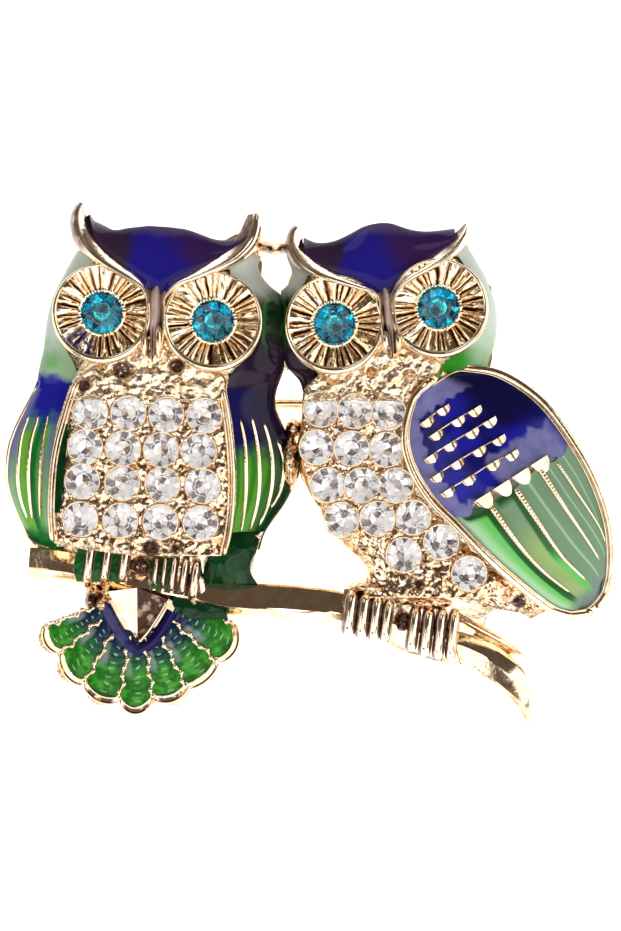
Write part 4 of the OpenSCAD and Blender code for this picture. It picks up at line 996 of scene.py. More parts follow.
def brow_shade(ground):
    """Painted shade on the brows: on the slope to the crown and on the left of the ears. Left brows have s
    from
    0 at the eye to 1 at the crown; right brows the other way, one step on.
    """
    across = ground.s.math("FRACT")
    right = ground.s.span(0.99, 1.01)
    ear = ground.t.span(0.70, 0.82)
    left_side = across.span(0.36, 0.50, 1, 0)
    inner = right * across.span(0.06, 0.16, 1, 0) + (1 - right) * across.span(0.84, 0.94)
    return ear * left_side + (1 - ear) * inner * ground.t.span(0.18, 0.26)


def beak_shade(ground):
    """Painted shade on all of a beak but its edges and its tip."""
    return ground.s.span(0.05, 0.12) * ground.s.span(0.88, 0.95, 1, 0) * ground.t.span(0.85, 0.95, 1, 0)


def claw_flank_shade(ground):
    """Painted shade on both flanks of a claw."""
    return ground.s.span(0.10, 0.18, 1, 0) + ground.s.span(0.70, 0.78)


brow_gold = shaded_gold("brow_gold", brow_shade, BROW_SHADE)
beak_gold = shaded_gold("beak_gold", beak_shade, BEAK_SHADE, 0.9)
claw_gold = shaded_gold("claw_gold", claw_flank_shade, CLAW_SHADE, 0.8)

# %% Brows and beaks
LEFT_BROWS = [  # x, y, width in grid steps, height in mm
    [[149, 358, 3, 4.6], [146, 350, 8, 5.2], [145.5, 340, 8, 5.3], [146.5, 325, 4, 5.2],
     [147.5, 310, 4, 5.2], [148, 298, 8, 5.1], [144, 286, 14, 5.0], [133, 277.5, 17, 5.0],
     [118, 268.5, 18, 4.95], [104, 259.5, 20, 4.85], [93, 249.5, 23, 4.7], [84.5, 237, 24, 4.5],
     [81, 224, 24, 4.3], [80.5, 215, 21, 4.2], [81.5, 208.5, 17, 4.1], [83.5, 203.5, 12, 3.9]],
    [[156, 359, 3, 4.6], [159, 351, 9, 5.2], [161, 340, 9, 5.3], [163, 322, 7, 5.2], [163.5, 308, 7, 5.2],
     [163, 299, 9, 5.1], [168, 290, 13, 5.0], [178, 282, 14, 5.0], [192, 276.5, 16, 5.0],
     [208, 269.5, 18, 4.95], [223, 262.5, 20, 4.85], [237.5, 253, 23, 4.65], [248, 241, 24, 4.35],
     [253, 229, 22, 4.2], [254.5, 219, 18, 4.1], [254, 213.5, 13, 3.9]]]
RIGHT_BROWS = [
    [[388.5, 353, 3, 4.6], [385.5, 345, 8, 5.2], [383.5, 335, 8, 5.3], [381.5, 320, 5, 5.2],
     [381, 307, 5, 5.2], [380, 297, 9, 5.1], [373, 290, 12, 5.0], [361, 286, 15, 5.0],
     [344, 280.5, 17, 5.0], [326, 274.5, 18, 4.95], [311, 267, 20, 4.8], [300.5, 257, 21, 4.6],
     [294.5, 245, 18, 4.3], [294.5, 237, 16, 3.9], [296, 231, 13, 3.5], [298.5, 227.5, 9, 3.2]],
    [[395.5, 354, 3, 4.6], [398, 346, 8, 5.2], [398, 336, 8, 5.3], [395, 320, 6, 5.2], [393.5, 307, 6, 5.2],
     [393, 297, 9, 5.1], [398, 287, 12, 5.0], [409, 277, 15, 5.0], [424, 268.5, 16, 5.0],
     [439, 259.5, 18, 4.9], [452, 249.5, 19, 4.65], [461, 237, 15, 4.2], [465.5, 228, 8, 3.7],
     [467, 223.5, 4, 3.3]]]
BEAKS = [
    [[157, 286, 5, 4.5], [155.5, 294, 12, 4.85], [155.5, 307, 14, 4.95], [154.5, 322, 13, 5.0],
     [153.5, 336, 9, 5.0], [153, 348, 7, 4.9], [152.5, 358, 5, 4.7], [152.5, 362, 3, 4.5]],
    [[384.5, 288, 5, 4.5], [386.5, 296, 10, 4.85], [387.5, 307, 10, 4.95], [388.5, 320, 10, 5.0],
     [391, 333, 8, 5.0], [392, 344, 6, 4.9], [392.5, 353, 5, 4.7], [393, 358, 3, 4.5]]]
CREST_AT, CROWN_END = -0.14, 0.55                   # a brow's crest, and its height at the crown
GROOVE_AT, GROOVE_W, GROOVE_D = 0.08, 0.09, 0.35    # a beak's groove


def brow_section(side):
    """Steep and round beside the eye, a long slope to the crown; side is 1 where the crown has q > 0."""
    def section(q, t):
        p = q * side
        if p < CREST_AT:
            return math.sqrt(max(1 - ((CREST_AT - p) / (0.5 + CREST_AT)) ** 2.6, 0))
        slope = (p - CREST_AT) / (0.5 - CREST_AT)
        return mix(1, CROWN_END, slope ** 1.3)

    return section


def beak_section(q, t):
    groove = GROOVE_D * held((t - 0.45) * 4) * math.exp(-(((q - GROOVE_AT) / GROOVE_W) ** 2))
    return half_round(0.35)(q, t) - groove


brows = [numbered(ribbon(rows, brow_section(1 - 2 * k), 90, 18, base=2.2), k)
         for pair in (LEFT_BROWS, RIGHT_BROWS) for k, rows in enumerate(pair)]
piece("brows", brows, brow_gold)
piece("beaks", [ribbon(rows, beak_section, 60, 24, base=3.0) for rows in BEAKS], beak_gold)

# %% [markdown]
# ## Crowns
# The crown is a field of deep blue enamel between the brows and the wavy upper edge of the head. The
# enamel is poured level and falls away towards that edge, where a painted reflection lays a pale haze on
# it.

# %% Crown enamel
LEFT_CROWN = [  # x, y of the lower edge, y of the upper edge
    [90, 219, 214.5], [93, 233, 220.5], [98, 242, 225], [106, 251, 229], [116, 260, 231], [128, 269, 229],
    [138, 277, 228], [148, 285, 227], [157, 292, 227.5], [166, 288, 228], [176, 281, 229], [188, 275, 231],
    [202, 268, 236], [215, 262, 240.5], [227, 256, 241], [237, 249, 237], [243, 243, 234], [246, 239, 231]]
RIGHT_CROWN = [
    [303.5, 246, 238.5], [306.5, 256, 240], [313, 262, 243], [323, 268, 244], [336, 272, 241.5],
    [350, 277, 235], [363, 282, 228], [374, 288, 225], [384, 293, 224], [393, 287, 225], [402, 280, 228],
    [412, 272, 231], [424, 264, 232.5], [436, 256, 232], [448, 247, 230.5], [455, 239, 229.5]]
CROWN_OVER = 1.6          # the enamel laps over the casting's upper edge, in grid steps


def crown_height(x, y, s, t):
    return 3.98 - s * s + 0.12 * arch(s)


for owl, rows in (("left", LEFT_CROWN), ("right", RIGHT_CROWN)):
    over = [[x, low, high - CROWN_OVER] for x, low, high in rows]
    shape = field(over, crown_height, 16, 64, upright=False, base=2.2)
    piece(owl + "_crown", [shape], crown_blue, [owl + "_crown_enamel"])

# %% [markdown]
# ## Collars
# Between the eyes and the breast the metal is rough, as if folded, with two pits beside the beak; on the
# left owl painted shade darkens them.

# %% Collars
LEFT_COLLAR = [  # y, left edge, right edge
    [336, 143, 164], [350, 130, 178], [358, 112, 192], [366, 94, 210], [376, 80, 224], [388, 73, 226],
    [400, 68, 224]]
RIGHT_COLLAR = [
    [336, 376, 400], [346, 366, 412], [356, 348, 432], [366, 330, 442], [378, 314, 434], [390, 304, 422],
    [402, 302, 414]]
DIPS = [(124, 369, 10), (177, 366, 8), (372, 372, 5), (410, 374, 5)]     # x, y, half width
DIP_DEPTH = 0.5


def collar(rows):
    def height(x, y, s, t):
        dip = sum(math.exp(-(((x - a) / r) ** 2 + ((y - b) / (0.75 * r)) ** 2) ** 2) for a, b, r in DIPS)
        dip *= DIP_DEPTH
        return 4.05 - 0.25 * t - dip + rough(at(x, y), 0.8, 0.2) - 0.5 * (1 - arch(s, 0.3))

    return field(rows, height, 84, 56, base=2.4)


piece("collars", [collar(LEFT_COLLAR), collar(RIGHT_COLLAR)], collar_gold, angle=180)

# %% [markdown]
# ## Cheeks
# Strips of enamel lie between the eye discs and the outline of the head: pale green on the outside of
# the pair, nearly black between the two heads.

# %% Cheek enamel
CHEEKS = {  # y, left edge, right edge
    "left_outer": [
        [250, 76, 94], [262, 69, 94], [275, 62, 85], [290, 54.5, 72], [305, 49.5, 57], [320, 46, 57],
        [335, 44, 60], [350, 42, 66], [365, 38.5, 74], [378, 36.5, 77], [388, 35, 75]],
    "left_inner": [
        [255, 236, 261], [259, 234, 260], [265, 230, 258], [271, 230, 259.5], [277, 231, 262.5],
        [283, 234, 267.5], [288, 240, 273], [292, 245, 279], [299, 250, 283], [305, 254, 284],
        [320, 260, 284.5], [340, 258, 284.5], [355, 250, 284.5], [370, 236, 283.5], [380, 226, 280],
        [388, 222, 277]],
    "right_inner": [
        [252, 286, 312], [257, 287, 312], [263, 289, 312], [270, 291.5, 310], [279, 290.5, 306],
        [285, 287, 303], [290, 281, 300], [296, 281, 298], [308, 283.5, 296], [325, 283, 290],
        [342, 283, 292], [356, 284, 303], [368, 288, 312], [380, 299, 316], [392, 303, 314]],
    "right_outer": [
        [240, 459, 466.5], [248, 455, 470], [262, 463, 478.5], [275, 472, 486], [290, 480, 492],
        [305, 485, 496.5], [320, 485, 498], [335, 480, 497], [347, 470, 494], [358, 452, 490.5],
        [368, 436, 488], [376, 430, 486]]}
for name, rows in CHEEKS.items():
    surface = left_height if name.startswith("left") else right_height
    finish, slot = ((outer_cheek_enamel, "pale_green_enamel") if name.endswith("outer") else
                    (inner_cheek_enamel, "green_enamel"))
    shape = field(rows, lambda x, y, s, t: surface(x, y) + 0.06 * arch(s), 12, 60, base=POURED)
    piece(name + "_cheek", [shape], finish, [name + "_cheek_enamel"])

# %% [markdown]
# ## Wings of the left owl
# Gold ridges divide each wing in channels of enamel. They are thin rods that follow the wing's curve,
# thickest in their middle.

# %% Wing enamel and ridges
LEFT_WING = [  # y, left edge, right edge
    [380, 35.8, 75], [400, 28, 68], [420, 18.5, 62], [440, 10, 57], [460, 5.5, 53], [480, 5, 51],
    [500, 9.5, 50], [520, 17, 50.5], [535, 26.5, 52], [543, 33, 57], [550, 48, 62]]
INNER_WING = [
    [384, 223, 278], [400, 226, 275], [420, 229, 279], [440, 231, 291], [460, 233, 300], [475, 234, 299],
    [490, 234, 292], [505, 233, 284], [520, 231, 273], [535, 229, 264], [550, 226, 259.5]]
FLANK = [
    [530, 227, 262], [540, 224, 259.5], [552, 212, 256], [564, 205, 250.5], [574, 203, 251],
    [584, 203, 257]]
OUTER_RIDGES = [
    [[27.7, 416.5], [20.8, 435], [17.4, 459], [16.8, 480.7], [19.8, 500.5], [26.7, 520]],
    [[37.6, 416.5], [30.6, 439], [27.7, 463], [27.7, 484.7], [29.3, 504.5], [31.6, 520]],
    [[47.4, 415.5], [43.1, 435], [40.5, 459], [39.5, 480.7], [39.1, 500.5], [39.5, 518]]]
INNER_RIDGES = [
    [[240, 418], [244.5, 440], [246, 465], [246, 490], [244, 512], [241, 532]],
    [[251, 415], [256, 436], [259, 460], [259.5, 485], [256.5, 508], [250, 530]],
    [[263, 420], [269, 440], [272.5, 462], [272, 486], [267.5, 506], [259, 526]],
    [[277, 440], [283, 456], [284, 472], [280, 490], [271, 508]]]


def channel_height(x, y, s, t):
    return left_height(x, y) + 0.02


def flank_height(x, y, s, t):
    """The flank starts at the body's height and falls to the branch."""
    low = 2.6 + 0.5 * arch(s) - 0.6 * t * t + rough(at(x, y), 2.0, 0.14)
    return mix(left_height(x, y) - 0.1, low, held(3 * t))


for name, rows, finish in (("left_outer_wing", LEFT_WING, wing_enamel),
                           ("left_inner_wing", INNER_WING, inner_wing_enamel)):
    shape = field(rows, channel_height, 20, 50, base=POURED)
    piece(name, [shape], finish, [name + "_enamel"])
piece("left_flank", [field(FLANK, flank_height, 30, 30)], flank_green,
      ["left_flank_enamel"])
ridges = [rod(points, lambda t: 0.07 + 0.10 * arch(t), left_height, 0.06, 40, 8)
          for points in OUTER_RIDGES + INNER_RIDGES]

# %% [markdown]
# The breast of the left owl is framed by a smooth rim and, beside it, a thinner line. A narrow strip
# of green shows between that line and the stones. Another line edges the wing on the outside.

# %% Rims of the left breast
LEFT_RIM = [
    [76, 380], [68.5, 400], [62.5, 420], [57, 440], [53, 460], [51, 480], [50, 500], [50, 520], [52, 542]]
RIGHT_RIM = [
    [221, 386], [226, 405], [229.5, 430], [232, 455], [233, 480], [232, 510], [229, 535], [224, 556]]
STRIP = [[424, 62, 68], [440, 59, 67], [460, 56, 65.5], [480, 54, 63.5], [500, 53.5, 61.5], [513, 53.5, 60]]
WING_EDGE = [
    [36, 386], [28, 401], [20, 416], [13, 431], [8, 446], [5.3, 466], [5.6, 482], [9, 497], [14, 511],
    [20.5, 526], [27, 538], [37, 545.5], [52, 550]]
BESIDE = 4.2             # from the rim to the thin line, in steps of the grid

ridges += [rod(rim, 0.19, left_breast, 0.02, 60, 10) for rim in (LEFT_RIM, RIGHT_RIM)]
ridges += [rod([[x + off, y] for x, y in rim], 0.10, left_breast, 0.04, 240, 6)
           for rim, off in ((LEFT_RIM, BESIDE), (RIGHT_RIM, -BESIDE))]
ridges.append(rod(WING_EDGE, 0.14, lambda x, y: 1.2, 0.1, 60, 8))
piece("left_wing_lines", ridges, polished_gold, angle=40)
piece("breast_strip", [field(STRIP, lambda x, y, s, t: left_breast(x, y) + 0.12, 6, 30, base=2.6)],
      flank_green)

# %% [markdown]
# ## Branch and claws
# The branch is a bent bar with two long faces that meet in an edge, so one face takes the light and
# the other stays dark. At its right end it forks: a thin twig above, a thick pointed end below. The
# claws are short bars with rounded edges laid over it.

# %% Branch, twig and claws
BRANCH = [  # x, y, width in grid steps, height in mm
    [28, 562.5, 33, 2.4], [60, 565, 33, 2.5], [100, 573, 31, 2.45], [140, 582, 30, 2.4],
    [200, 593, 32, 2.4], [225, 597.5, 35, 2.45], [250, 600, 36, 2.5], [300, 603, 36, 2.5],
    [345, 609, 35, 2.5], [385, 621, 37, 2.5], [413, 633, 38, 2.45], [445, 643, 37, 2.4],
    [463.5, 648.5, 35, 2.4], [483, 657.5, 37, 2.35], [501, 668.5, 34, 2.3], [515, 681.5, 31, 2.2],
    [522.5, 698, 20, 1.9], [526.5, 712, 12, 1.6], [530, 726, 4, 1.3]]
TWIG = [
    [456, 615, 14, 2.6], [469, 623, 15, 2.6], [483, 630.5, 15, 2.5], [497, 638, 14, 2.4],
    [510, 646, 12, 2.2], [521, 653.5, 8, 2.0], [527, 657.5, 4, 1.7]]
RIDGE = [[0, 0.18], [0.5, 0.22], [0.74, -0.08], [0.88, 0.0], [1, 0.12]]     # along, where the edge runs


def two_faces(q, t):
    """The branch's cross-section, with straight lines from point to point."""
    ridge = smooth(RIDGE, t)[0]
    section = [[-0.5, 0.36], [-0.47, 0.60], [-0.42, 0.70], [ridge, 1.0], [0.43, 0.74], [0.5, 0.45]]
    for (a, low), (b, high) in zip(section, section[1:]):
        if q <= b:
            return mix(low, high, (q - a) / (b - a))
    return section[-1][1]


LEFT_CLAWS = [  # x, y of the top, x, y of the foot, width
    [91.5, 543, 86, 584, 13], [109, 543, 103, 584, 12], [126.5, 544, 121.5, 584, 13],
    [157, 556, 153.5, 588, 8], [166, 556, 162, 590, 7], [175.5, 556, 170.5, 594, 9],
    [186.5, 557, 181, 597, 10], [197.5, 560, 191, 601, 11]]
RIGHT_CLAWS = [
    [353, 591, 347.5, 636, 15], [366, 593, 360.5, 639, 15], [378.5, 596, 372.5, 641, 14],
    [390, 600, 384, 642, 13], [416.5, 607, 410.5, 652, 14], [430, 608, 424, 657, 15],
    [443, 609, 437.5, 660, 14], [455.5, 610, 450, 661, 13]]
CLAW = [  # share of the length, share of the width, height
    (0, 0.6, 2.7), (0.12, 0.95, 3.3), (0.5, 1, 3.5), (0.85, 1, 3.2), (0.97, 0.8, 2.5), (1, 0.5, 2.0)]


def claw(top_x, top_y, foot_x, foot_y, width):
    rows = [[mix(top_x, foot_x, t), mix(top_y, foot_y, t), width * w, h] for t, w, h in CLAW]
    return ribbon(rows, half_round(0.17), 24, 14, base=0.6)


piece("branch", [ribbon(BRANCH, two_faces, 120, 20), ribbon(TWIG, half_round(0.55), 40, 12)],
      polished_gold, angle=24)
piece("claws", [claw(*row) for row in LEFT_CLAWS + RIGHT_CLAWS], claw_gold)

# %% [markdown]
# The back of the casting is plain, with the hollows under the bodies and the seats of the pin's
# fittings. It is taken from the CAD casting itself: a copy is pressed a little flatter and drawn in a
# little, so that it lies just inside the finer forms in front and still shows its true back. At the
# end of the branch it is drawn in to the finer branch's outline.

# %% The casting's back
PRESS_FROM, PRESS, DRAWN_IN = 1.0, 0.70, 0.14     # what lies over 1 mm is pressed to 0.7 of its rise
FORK, INSIDE = (455, 628), 1.5       # from there on, the copy ends this far inside the branch
TAIL_SPAN, TAIL_FOOT = (472, 520), 604            # the short tail's range of x, and its lower edge
TWIG_TOP, TWIG_SLOPE = (472.5, 614.5), 0.55       # the twig's upper edge there
core = bmesh.new()
core.from_mesh(frame["nodes"]["casting"].data)
bmesh.ops.remove_doubles(core, verts=core.verts, dist=1e-7)
core.transform(LAY.inverted())
core.normal_update()
bends = [limb(i / 80)[:3] for limb in (line(BRANCH), line(TWIG)) for i in range(81)]
for v in core.verts:
    v.co -= Vector((v.normal.x, v.normal.y, 0)) * DRAWN_IN
    x, y = on_grid(v.co)
    if x > FORK[0] and y > FORK[1]:
        over, a, b = min((math.dist((x, y), p[:2]) - p[2] / 2, p[0], p[1]) for p in bends)
        if over > -INSIDE:
            v.co += (at(a, b) - at(x, y)).normalized() * (over + INSIDE) * MM
    twig = TWIG_TOP[1] + TWIG_SLOPE * (x - TWIG_TOP[0])
    if TAIL_SPAN[0] < x < TAIL_SPAN[1] and TAIL_FOOT < y < twig:
        v.co.y = at(x, TAIL_FOOT).y
    v.co.z -= max(v.co.z - PRESS_FROM, 0) * (1 - PRESS)
core.loops.layers.uv.new("UVMap")
piece("casting_back", [core], cast_gold, stands_for=["casting"], angle=40)


# %% [markdown]
# Green enamel has run between the claws of the left foot, and the metal about the feet is rough, with
# painted shade in its hollows.

# %% Enamel and rough metal at the feet
FEET = [  # three fields: y, left edge, right edge
    [[546, 78, 128], [566, 73, 126], [582, 76, 123]],
    [[558, 152, 180], [574, 149, 177], [588, 151, 172]],
    [[596, 176, 194], [602, 172, 206], [608, 174, 218], [614, 180, 226], [620, 192, 228]]]


BRANCH_Y, ABOVE, BELOW = 594, 2.45, 2.1     # the enamel is higher above the branch's middle than below it


def foot_height(x, y, s, t):
    return (ABOVE if y < BRANCH_Y else BELOW) + 0.2 * arch(t) + rough(at(x, y), 0.9, 0.12)


piece("foot_enamel", [field(rows, foot_height, 24, 24, base=1.0) for rows in FEET],
      claw_green)


def lump(x, y, rx, ry, top, base=0.3, relief=0.16):
    """A rough rounded lump of cast metal, with its half width and half height in grid steps."""
    def place(s, t):
        angle = 2 * math.pi * t
        fall = math.sqrt(max(1 - s * s, 0))
        p = at(x + rx * s * math.cos(angle), y + ry * s * math.sin(angle))
        return p + Vector((0, 0, mix(base + 0.3, top, fall) + rough(p, 0.4, relief)))

    return patch(14, 48, place, base=base, wrap=True)


LUMPS = [  # x, y, half width, half height, top in mm
    (92, 592, 9, 8, 2.7), (90, 602, 7, 9, 2.5), (101, 605, 9, 10, 2.7), (104, 594, 8, 7, 2.6),
    (150, 550, 24, 9, 3.5), (190, 550, 20, 9, 3.5), (141, 566, 15, 13, 3.2), (91, 544, 22, 5, 3.4),
    (120, 544, 20, 5, 3.4), (193, 603, 8, 6, 2.3), (404, 600, 12, 9, 3.2), (403, 622, 11, 15, 3.0),
    (430, 603, 28, 9, 3.4), (371, 588, 24, 9, 3.5), (266, 246, 8, 7, 3.6), (275, 249, 8, 6, 3.7),
    (284, 246, 8, 7, 3.6), (290, 462, 9, 30, 2.9), (293, 428, 8, 10, 2.6)]
piece("rough_metal", [lump(*row) for row in LUMPS], grained_gold, angle=180)

# %% [markdown]
# A smooth drop of metal ends each brow beside the beak, and catches the light.

# %% Drops beside the beaks
DROP_TOP, DROP_BASE = 5.5, 4.6
DROPS = [(144.6, 345, 3.6, 13.5), (158.9, 342, 4.2, 17), (385.2, 342, 4.2, 11), (398.6, 342, 4.0, 11)]
piece("beak_drops", [lump(*row, DROP_TOP, DROP_BASE, 0.0) for row in DROPS], polished_gold)

# %% [markdown]
# ## Tail of the left owl
# Seven feathers fan out below the branch. Each is a field of enamel with cross ribs, framed by wavy
# gold lines and a bevelled scallop at the tip. Angles are measured from straight down.

# %% Tail
FAN, FEATHERS = (137, 590), 7
FAN_ANGLES = [-68, -50.5, -29.7, -9.4, 8.1, 26.6, 47.9, 71]
TIP_REACH = [110, 115, 121, 127, 120, 117, 118]
NOTCH_REACH = [104, 104, 113, 116.5, 114, 114, 112, 106]
TIP_BAND = 10.5
TIP_BEVEL = [  # share of the band, height in mm
    [0, 0.05], [0.12, 0.42], [0.25, 0.38], [0.72, 0.02], [0.84, 0.12], [1, -0.25]]
ROOT = 42


def fan(angle, reach, height=0.0):
    a = math.radians(angle)
    return at(FAN[0] + reach * math.sin(a), FAN[1] + reach * math.cos(a), height)


def fan_height(reach):
    return mix(2.15, 1.55, held(reach / 125))


def tip_reach(k, s):
    """How far out feather k's edge lies: an arch between two notches."""
    return mix(NOTCH_REACH[k], NOTCH_REACH[k + 1], s) + (
        TIP_REACH[k] - (NOTCH_REACH[k] + NOTCH_REACH[k + 1]) / 2) * arch(s, 0.7)


def feather(k):
    def place(s, t):
        angle = mix(FAN_ANGLES[k], FAN_ANGLES[k + 1], s)
        reach = mix(ROOT, tip_reach(k, s) - TIP_BAND * 0.6, t)
        ribs = 0.045 * abs(math.sin(math.pi * (8 * t + 0.5 * (s - 0.5) ** 2))) ** 0.5
        return fan(angle, reach, fan_height(reach) + 0.10 * arch(s) + ribs)

    return patch(14, 72, place, base=1.0)


def feather_tip(k):
    def place(s, t):
        angle = mix(FAN_ANGLES[k] + 0.4, FAN_ANGLES[k + 1] - 0.4, s)
        reach = tip_reach(k, s) - TIP_BAND * (1 - t)
        bevel = smooth(TIP_BEVEL, t)[0]
        return fan(angle, reach, fan_height(reach) + bevel * (0.4 + 0.6 * arch(s, 0.4)))

    return numbered(patch(24, 10, place), k)


def fan_ground():
    def place(s, t):
        angle = mix(FAN_ANGLES[0] - 1, FAN_ANGLES[-1] + 1, t)
        reach = s * (min(NOTCH_REACH) - 3)
        return fan(angle, reach, fan_height(reach) - 0.15)

    return patch(10, 60, place)


def wavy(k):
    """The beaded line on one side of a feather."""
    points = []
    for i in range(9):
        reach = mix(ROOT + 4, NOTCH_REACH[k] - 4, i / 8)
        sway = 1.9 * math.sin(2.4 * i)
        a = math.radians(FAN_ANGLES[k])
        points.append([FAN[0] + reach * math.sin(a) + sway * math.cos(a),
                       FAN[1] + reach * math.cos(a) - sway * math.sin(a)])
    return rod(points, 0.16, lambda x, y: fan_height(math.dist((x, y), FAN)), 0.16, 72, 8,
               beads=8, swell=0.4)


piece("tail_feathers", [feather(k) for k in range(FEATHERS)], tail_green,
      ["tail_feather_enamel"], angle=50)
piece("tail_metal", [fan_ground()] + [wavy(k) for k in range(FEATHERS + 1)], polished_gold, angle=50)


def tip_shade(ground):
    """A tip's bevel has a band of painted shade: broad on the three lowest feathers, narrow on the others.
    """
    s, t = ground.s, ground.t
    lowest = s.span(1.98, 2.02) * s.span(4.98, 5.02, 1, 0)
    share = s.math("FRACT")
    ends = share.span(0.08, 0.2) * share.span(0.8, 0.92, 1, 0)
    broad = t.span(0.26, 0.34) * t.span(0.72, 0.82, 1, 0)
    narrow = t.span(0.58, 0.64) * t.span(0.72, 0.80, 1, 0)
    return (lowest * broad + (1 - lowest) * narrow) * ends * ground.cloud(0.5).span(0.3, 0.45)


# Painted shade on the bevels of the feather tips.
tip_gold = gold("tip_gold", 0.09, 0.12, 0.3, dark_cover=tip_shade, cover_colour=PAINTED_SHADE_BROWN)
piece("tail_tips", [feather_tip(k) for k in range(FEATHERS)], tip_gold, angle=50)

# %% [markdown]
# A keel covers the root of the tail: two flat facets that meet in an edge, one bright and one darkened
# with painted shade.
# A vee of blue enamel runs below it.

# %% Keel and vee
KEEL_LEFT, KEEL_RIGHT, KEEL_TIP = (107, 592), (168, 600), (137, 642)
KEEL_TOP, KEEL_EDGE = 3.7, 2.4
KEEL_RIM = [[166, 602], [158, 616], [148, 631], [138, 643]]
VEE = [[[104, 606, 14, 2.5], [113, 624, 15, 2.45], [124, 641, 15, 2.4], [137, 652, 14, 2.3]],
       [[172, 612, 14, 2.5], [163, 628, 15, 2.45], [151, 643, 15, 2.4], [136, 652, 14, 2.3]]]


def keel_half(corner):
    """A flat facet from the ridge in the middle to one edge."""
    def place(s, t):
        edge = mix(corner[0], KEEL_TIP[0], t), mix(corner[1], KEEL_TIP[1], t)
        ridge = KEEL_TIP[0], mix(588, KEEL_TIP[1], t)
        x, y = mix(ridge[0], edge[0], s), mix(ridge[1], edge[1], s)
        return at(x, y, mix(mix(KEEL_TOP, 2.5, t), KEEL_EDGE, s))

    return patch(6, 12, place)


def keel_dark_shade(ground):
    """Painted shade in dark patches over most of the keel's shaded facet."""
    return ground.cloud(0.8).span(0.52, 0.66, 1.0, 0.55)


# Painted shade: a darker gold for the keel's shaded facet.
keel_shade_gold = gold("keel_shade_gold", 0.12, 0.3, 0.3, dark_cover=keel_dark_shade, cover_colour=PAINTED_SHADE_BROWN)
piece("tail_keel", [keel_half(KEEL_LEFT)], polished_gold, angle=10)
piece("tail_keel_shade", [keel_half(KEEL_RIGHT)], keel_shade_gold, angle=10)
piece("tail_keel_rim", [rod(KEEL_RIM, 0.16, lambda x, y: KEEL_EDGE, 0.1, 24, 8)], polished_gold)
piece("tail_vee", [ribbon(rows, half_round(0.4), 32, 14, base=1.4) for rows in VEE],
      tail_blue, ["tail_blue_enamel"])

# %% [markdown]
# ## The folded wing
# The right owl's wing is a pointed oval, domed, with a double gold rim. Its shoulder is blue with rows
# of small gold half-moons, its lower part is green vanes between rope-like gold lines. The wing has its
# own two directions: along, from the tip to the shoulder, and across it.

# %% Wing frame
WING = [  # along, low side, outer side, as shares of the half length and half width
    [-1.02, .02, .16], [-.97, -.16, .36], [-.85, -.36, .60], [-.69, -.48, .79], [-.52, -.58, .93],
    [-.33, -.68, 1.02], [-.14, -.76, 1.07], [.05, -.83, 1.08], [.22, -.90, 1.07], [.38, -.92, 1.04],
    [.52, -.90, .97], [.66, -.83, .86], [.77, -.71, .73], [.86, -.55, .55], [.93, -.38, .36],
    [.975, -.12, .08]]
WING_MID, WING_HALF, WING_SIDE, WING_RISE = (509, 494), 141.5, 78, 4.5     # grid steps, but the rise in mm
ALONG, ACROSS = (-0.5373, -0.8434), (0.8434, -0.5373)


def wing_place(a, c):
    return (WING_MID[0] + WING_HALF * a * ALONG[0] + WING_SIDE * c * ACROSS[0],
            WING_MID[1] + WING_HALF * a * ALONG[1] + WING_SIDE * c * ACROSS[1])


def wing_share(x, y):
    """How far along and across the wing a place lies, and how far across its two edges are there."""
    dx, dy = x - WING_MID[0], y - WING_MID[1]
    a = (dx * ALONG[0] + dy * ALONG[1]) / WING_HALF
    c = (dx * ACROSS[0] + dy * ACROSS[1]) / WING_SIDE
    return a, c, *smooth(WING, a)


def wing_height(x, y):
    a, c, low, outer = wing_share(x, y)
    t = held((c - low) / (outer - low))
    share = mix(0.62, 1, math.sin(math.pi / 2 * held(a + 1.02)))
    return WING_RISE * (mix(0.86, 0.44, t) + 0.3 * arch(t)) * share


def wing_field(start, stop, inset, lift, across, along, base=FOOT):
    """A patch along the wing from start to stop, which may be functions of s; inset is in grid steps."""
    def place(s, t):
        a = mix(given(start, s), given(stop, s), t)
        low, outer = smooth(WING, a)
        width = max(outer - low - 2 * inset / WING_SIDE, 0.02)
        x, y = wing_place(a, (low + outer) / 2 + (s - 0.5) * width)
        return at(x, y, wing_height(x, y) + lift)

    return patch(across, along, place, base)


# %% [markdown]
# The line between blue and green runs in half-moons. One formula gives it, for the end of the blue
# enamel, the start of the green, and the gold scallops on top.

# %% Wing enamel
LOBES, LOBE_DEPTH, DIVIDE = 6, 0.055, 0.075       # half-moons, and where the line between the colours runs
INSET = 7.0                                       # from the outline to the enamel, in grid steps
WING_WALL, WALL_END, WING_SHELL = 5, 0.93, 0.3    # the wall's width, where it closes, the shell in mm


def divide(s):
    """Where along the wing the colours meet, at the share s of its breadth."""
    return DIVIDE - LOBE_DEPTH * abs(math.sin(math.pi * LOBES * s))


def wing_foot(p):
    """The wing's ground is a thin shell with a wall round it, because the back of the wing is hollow."""
    a, c, low, outer = wing_share(*on_grid(p))
    walled = min(c - low, outer - c) * WING_SIDE < WING_WALL or abs(a) > WALL_END
    return FOOT if walled else p.z - WING_SHELL


piece("folded_wing_ground", [wing_field(-1.01, 0.972, 0.0, -0.28, 40, 90, base=wing_foot)],
      cast_gold, angle=40)
piece("right_wing_blue", [wing_field(divide, 0.93, INSET, 0.0, 60, 60, base=POURED)],
      blue_wing, ["right_wing_blue_enamel"])

# %% [markdown]
# The vanes are strips between the border and four lines that fan out from the scallops to the tip. Each
# strip is a shallow trough, so that it catches its own light. A plain field of enamel lies under them.

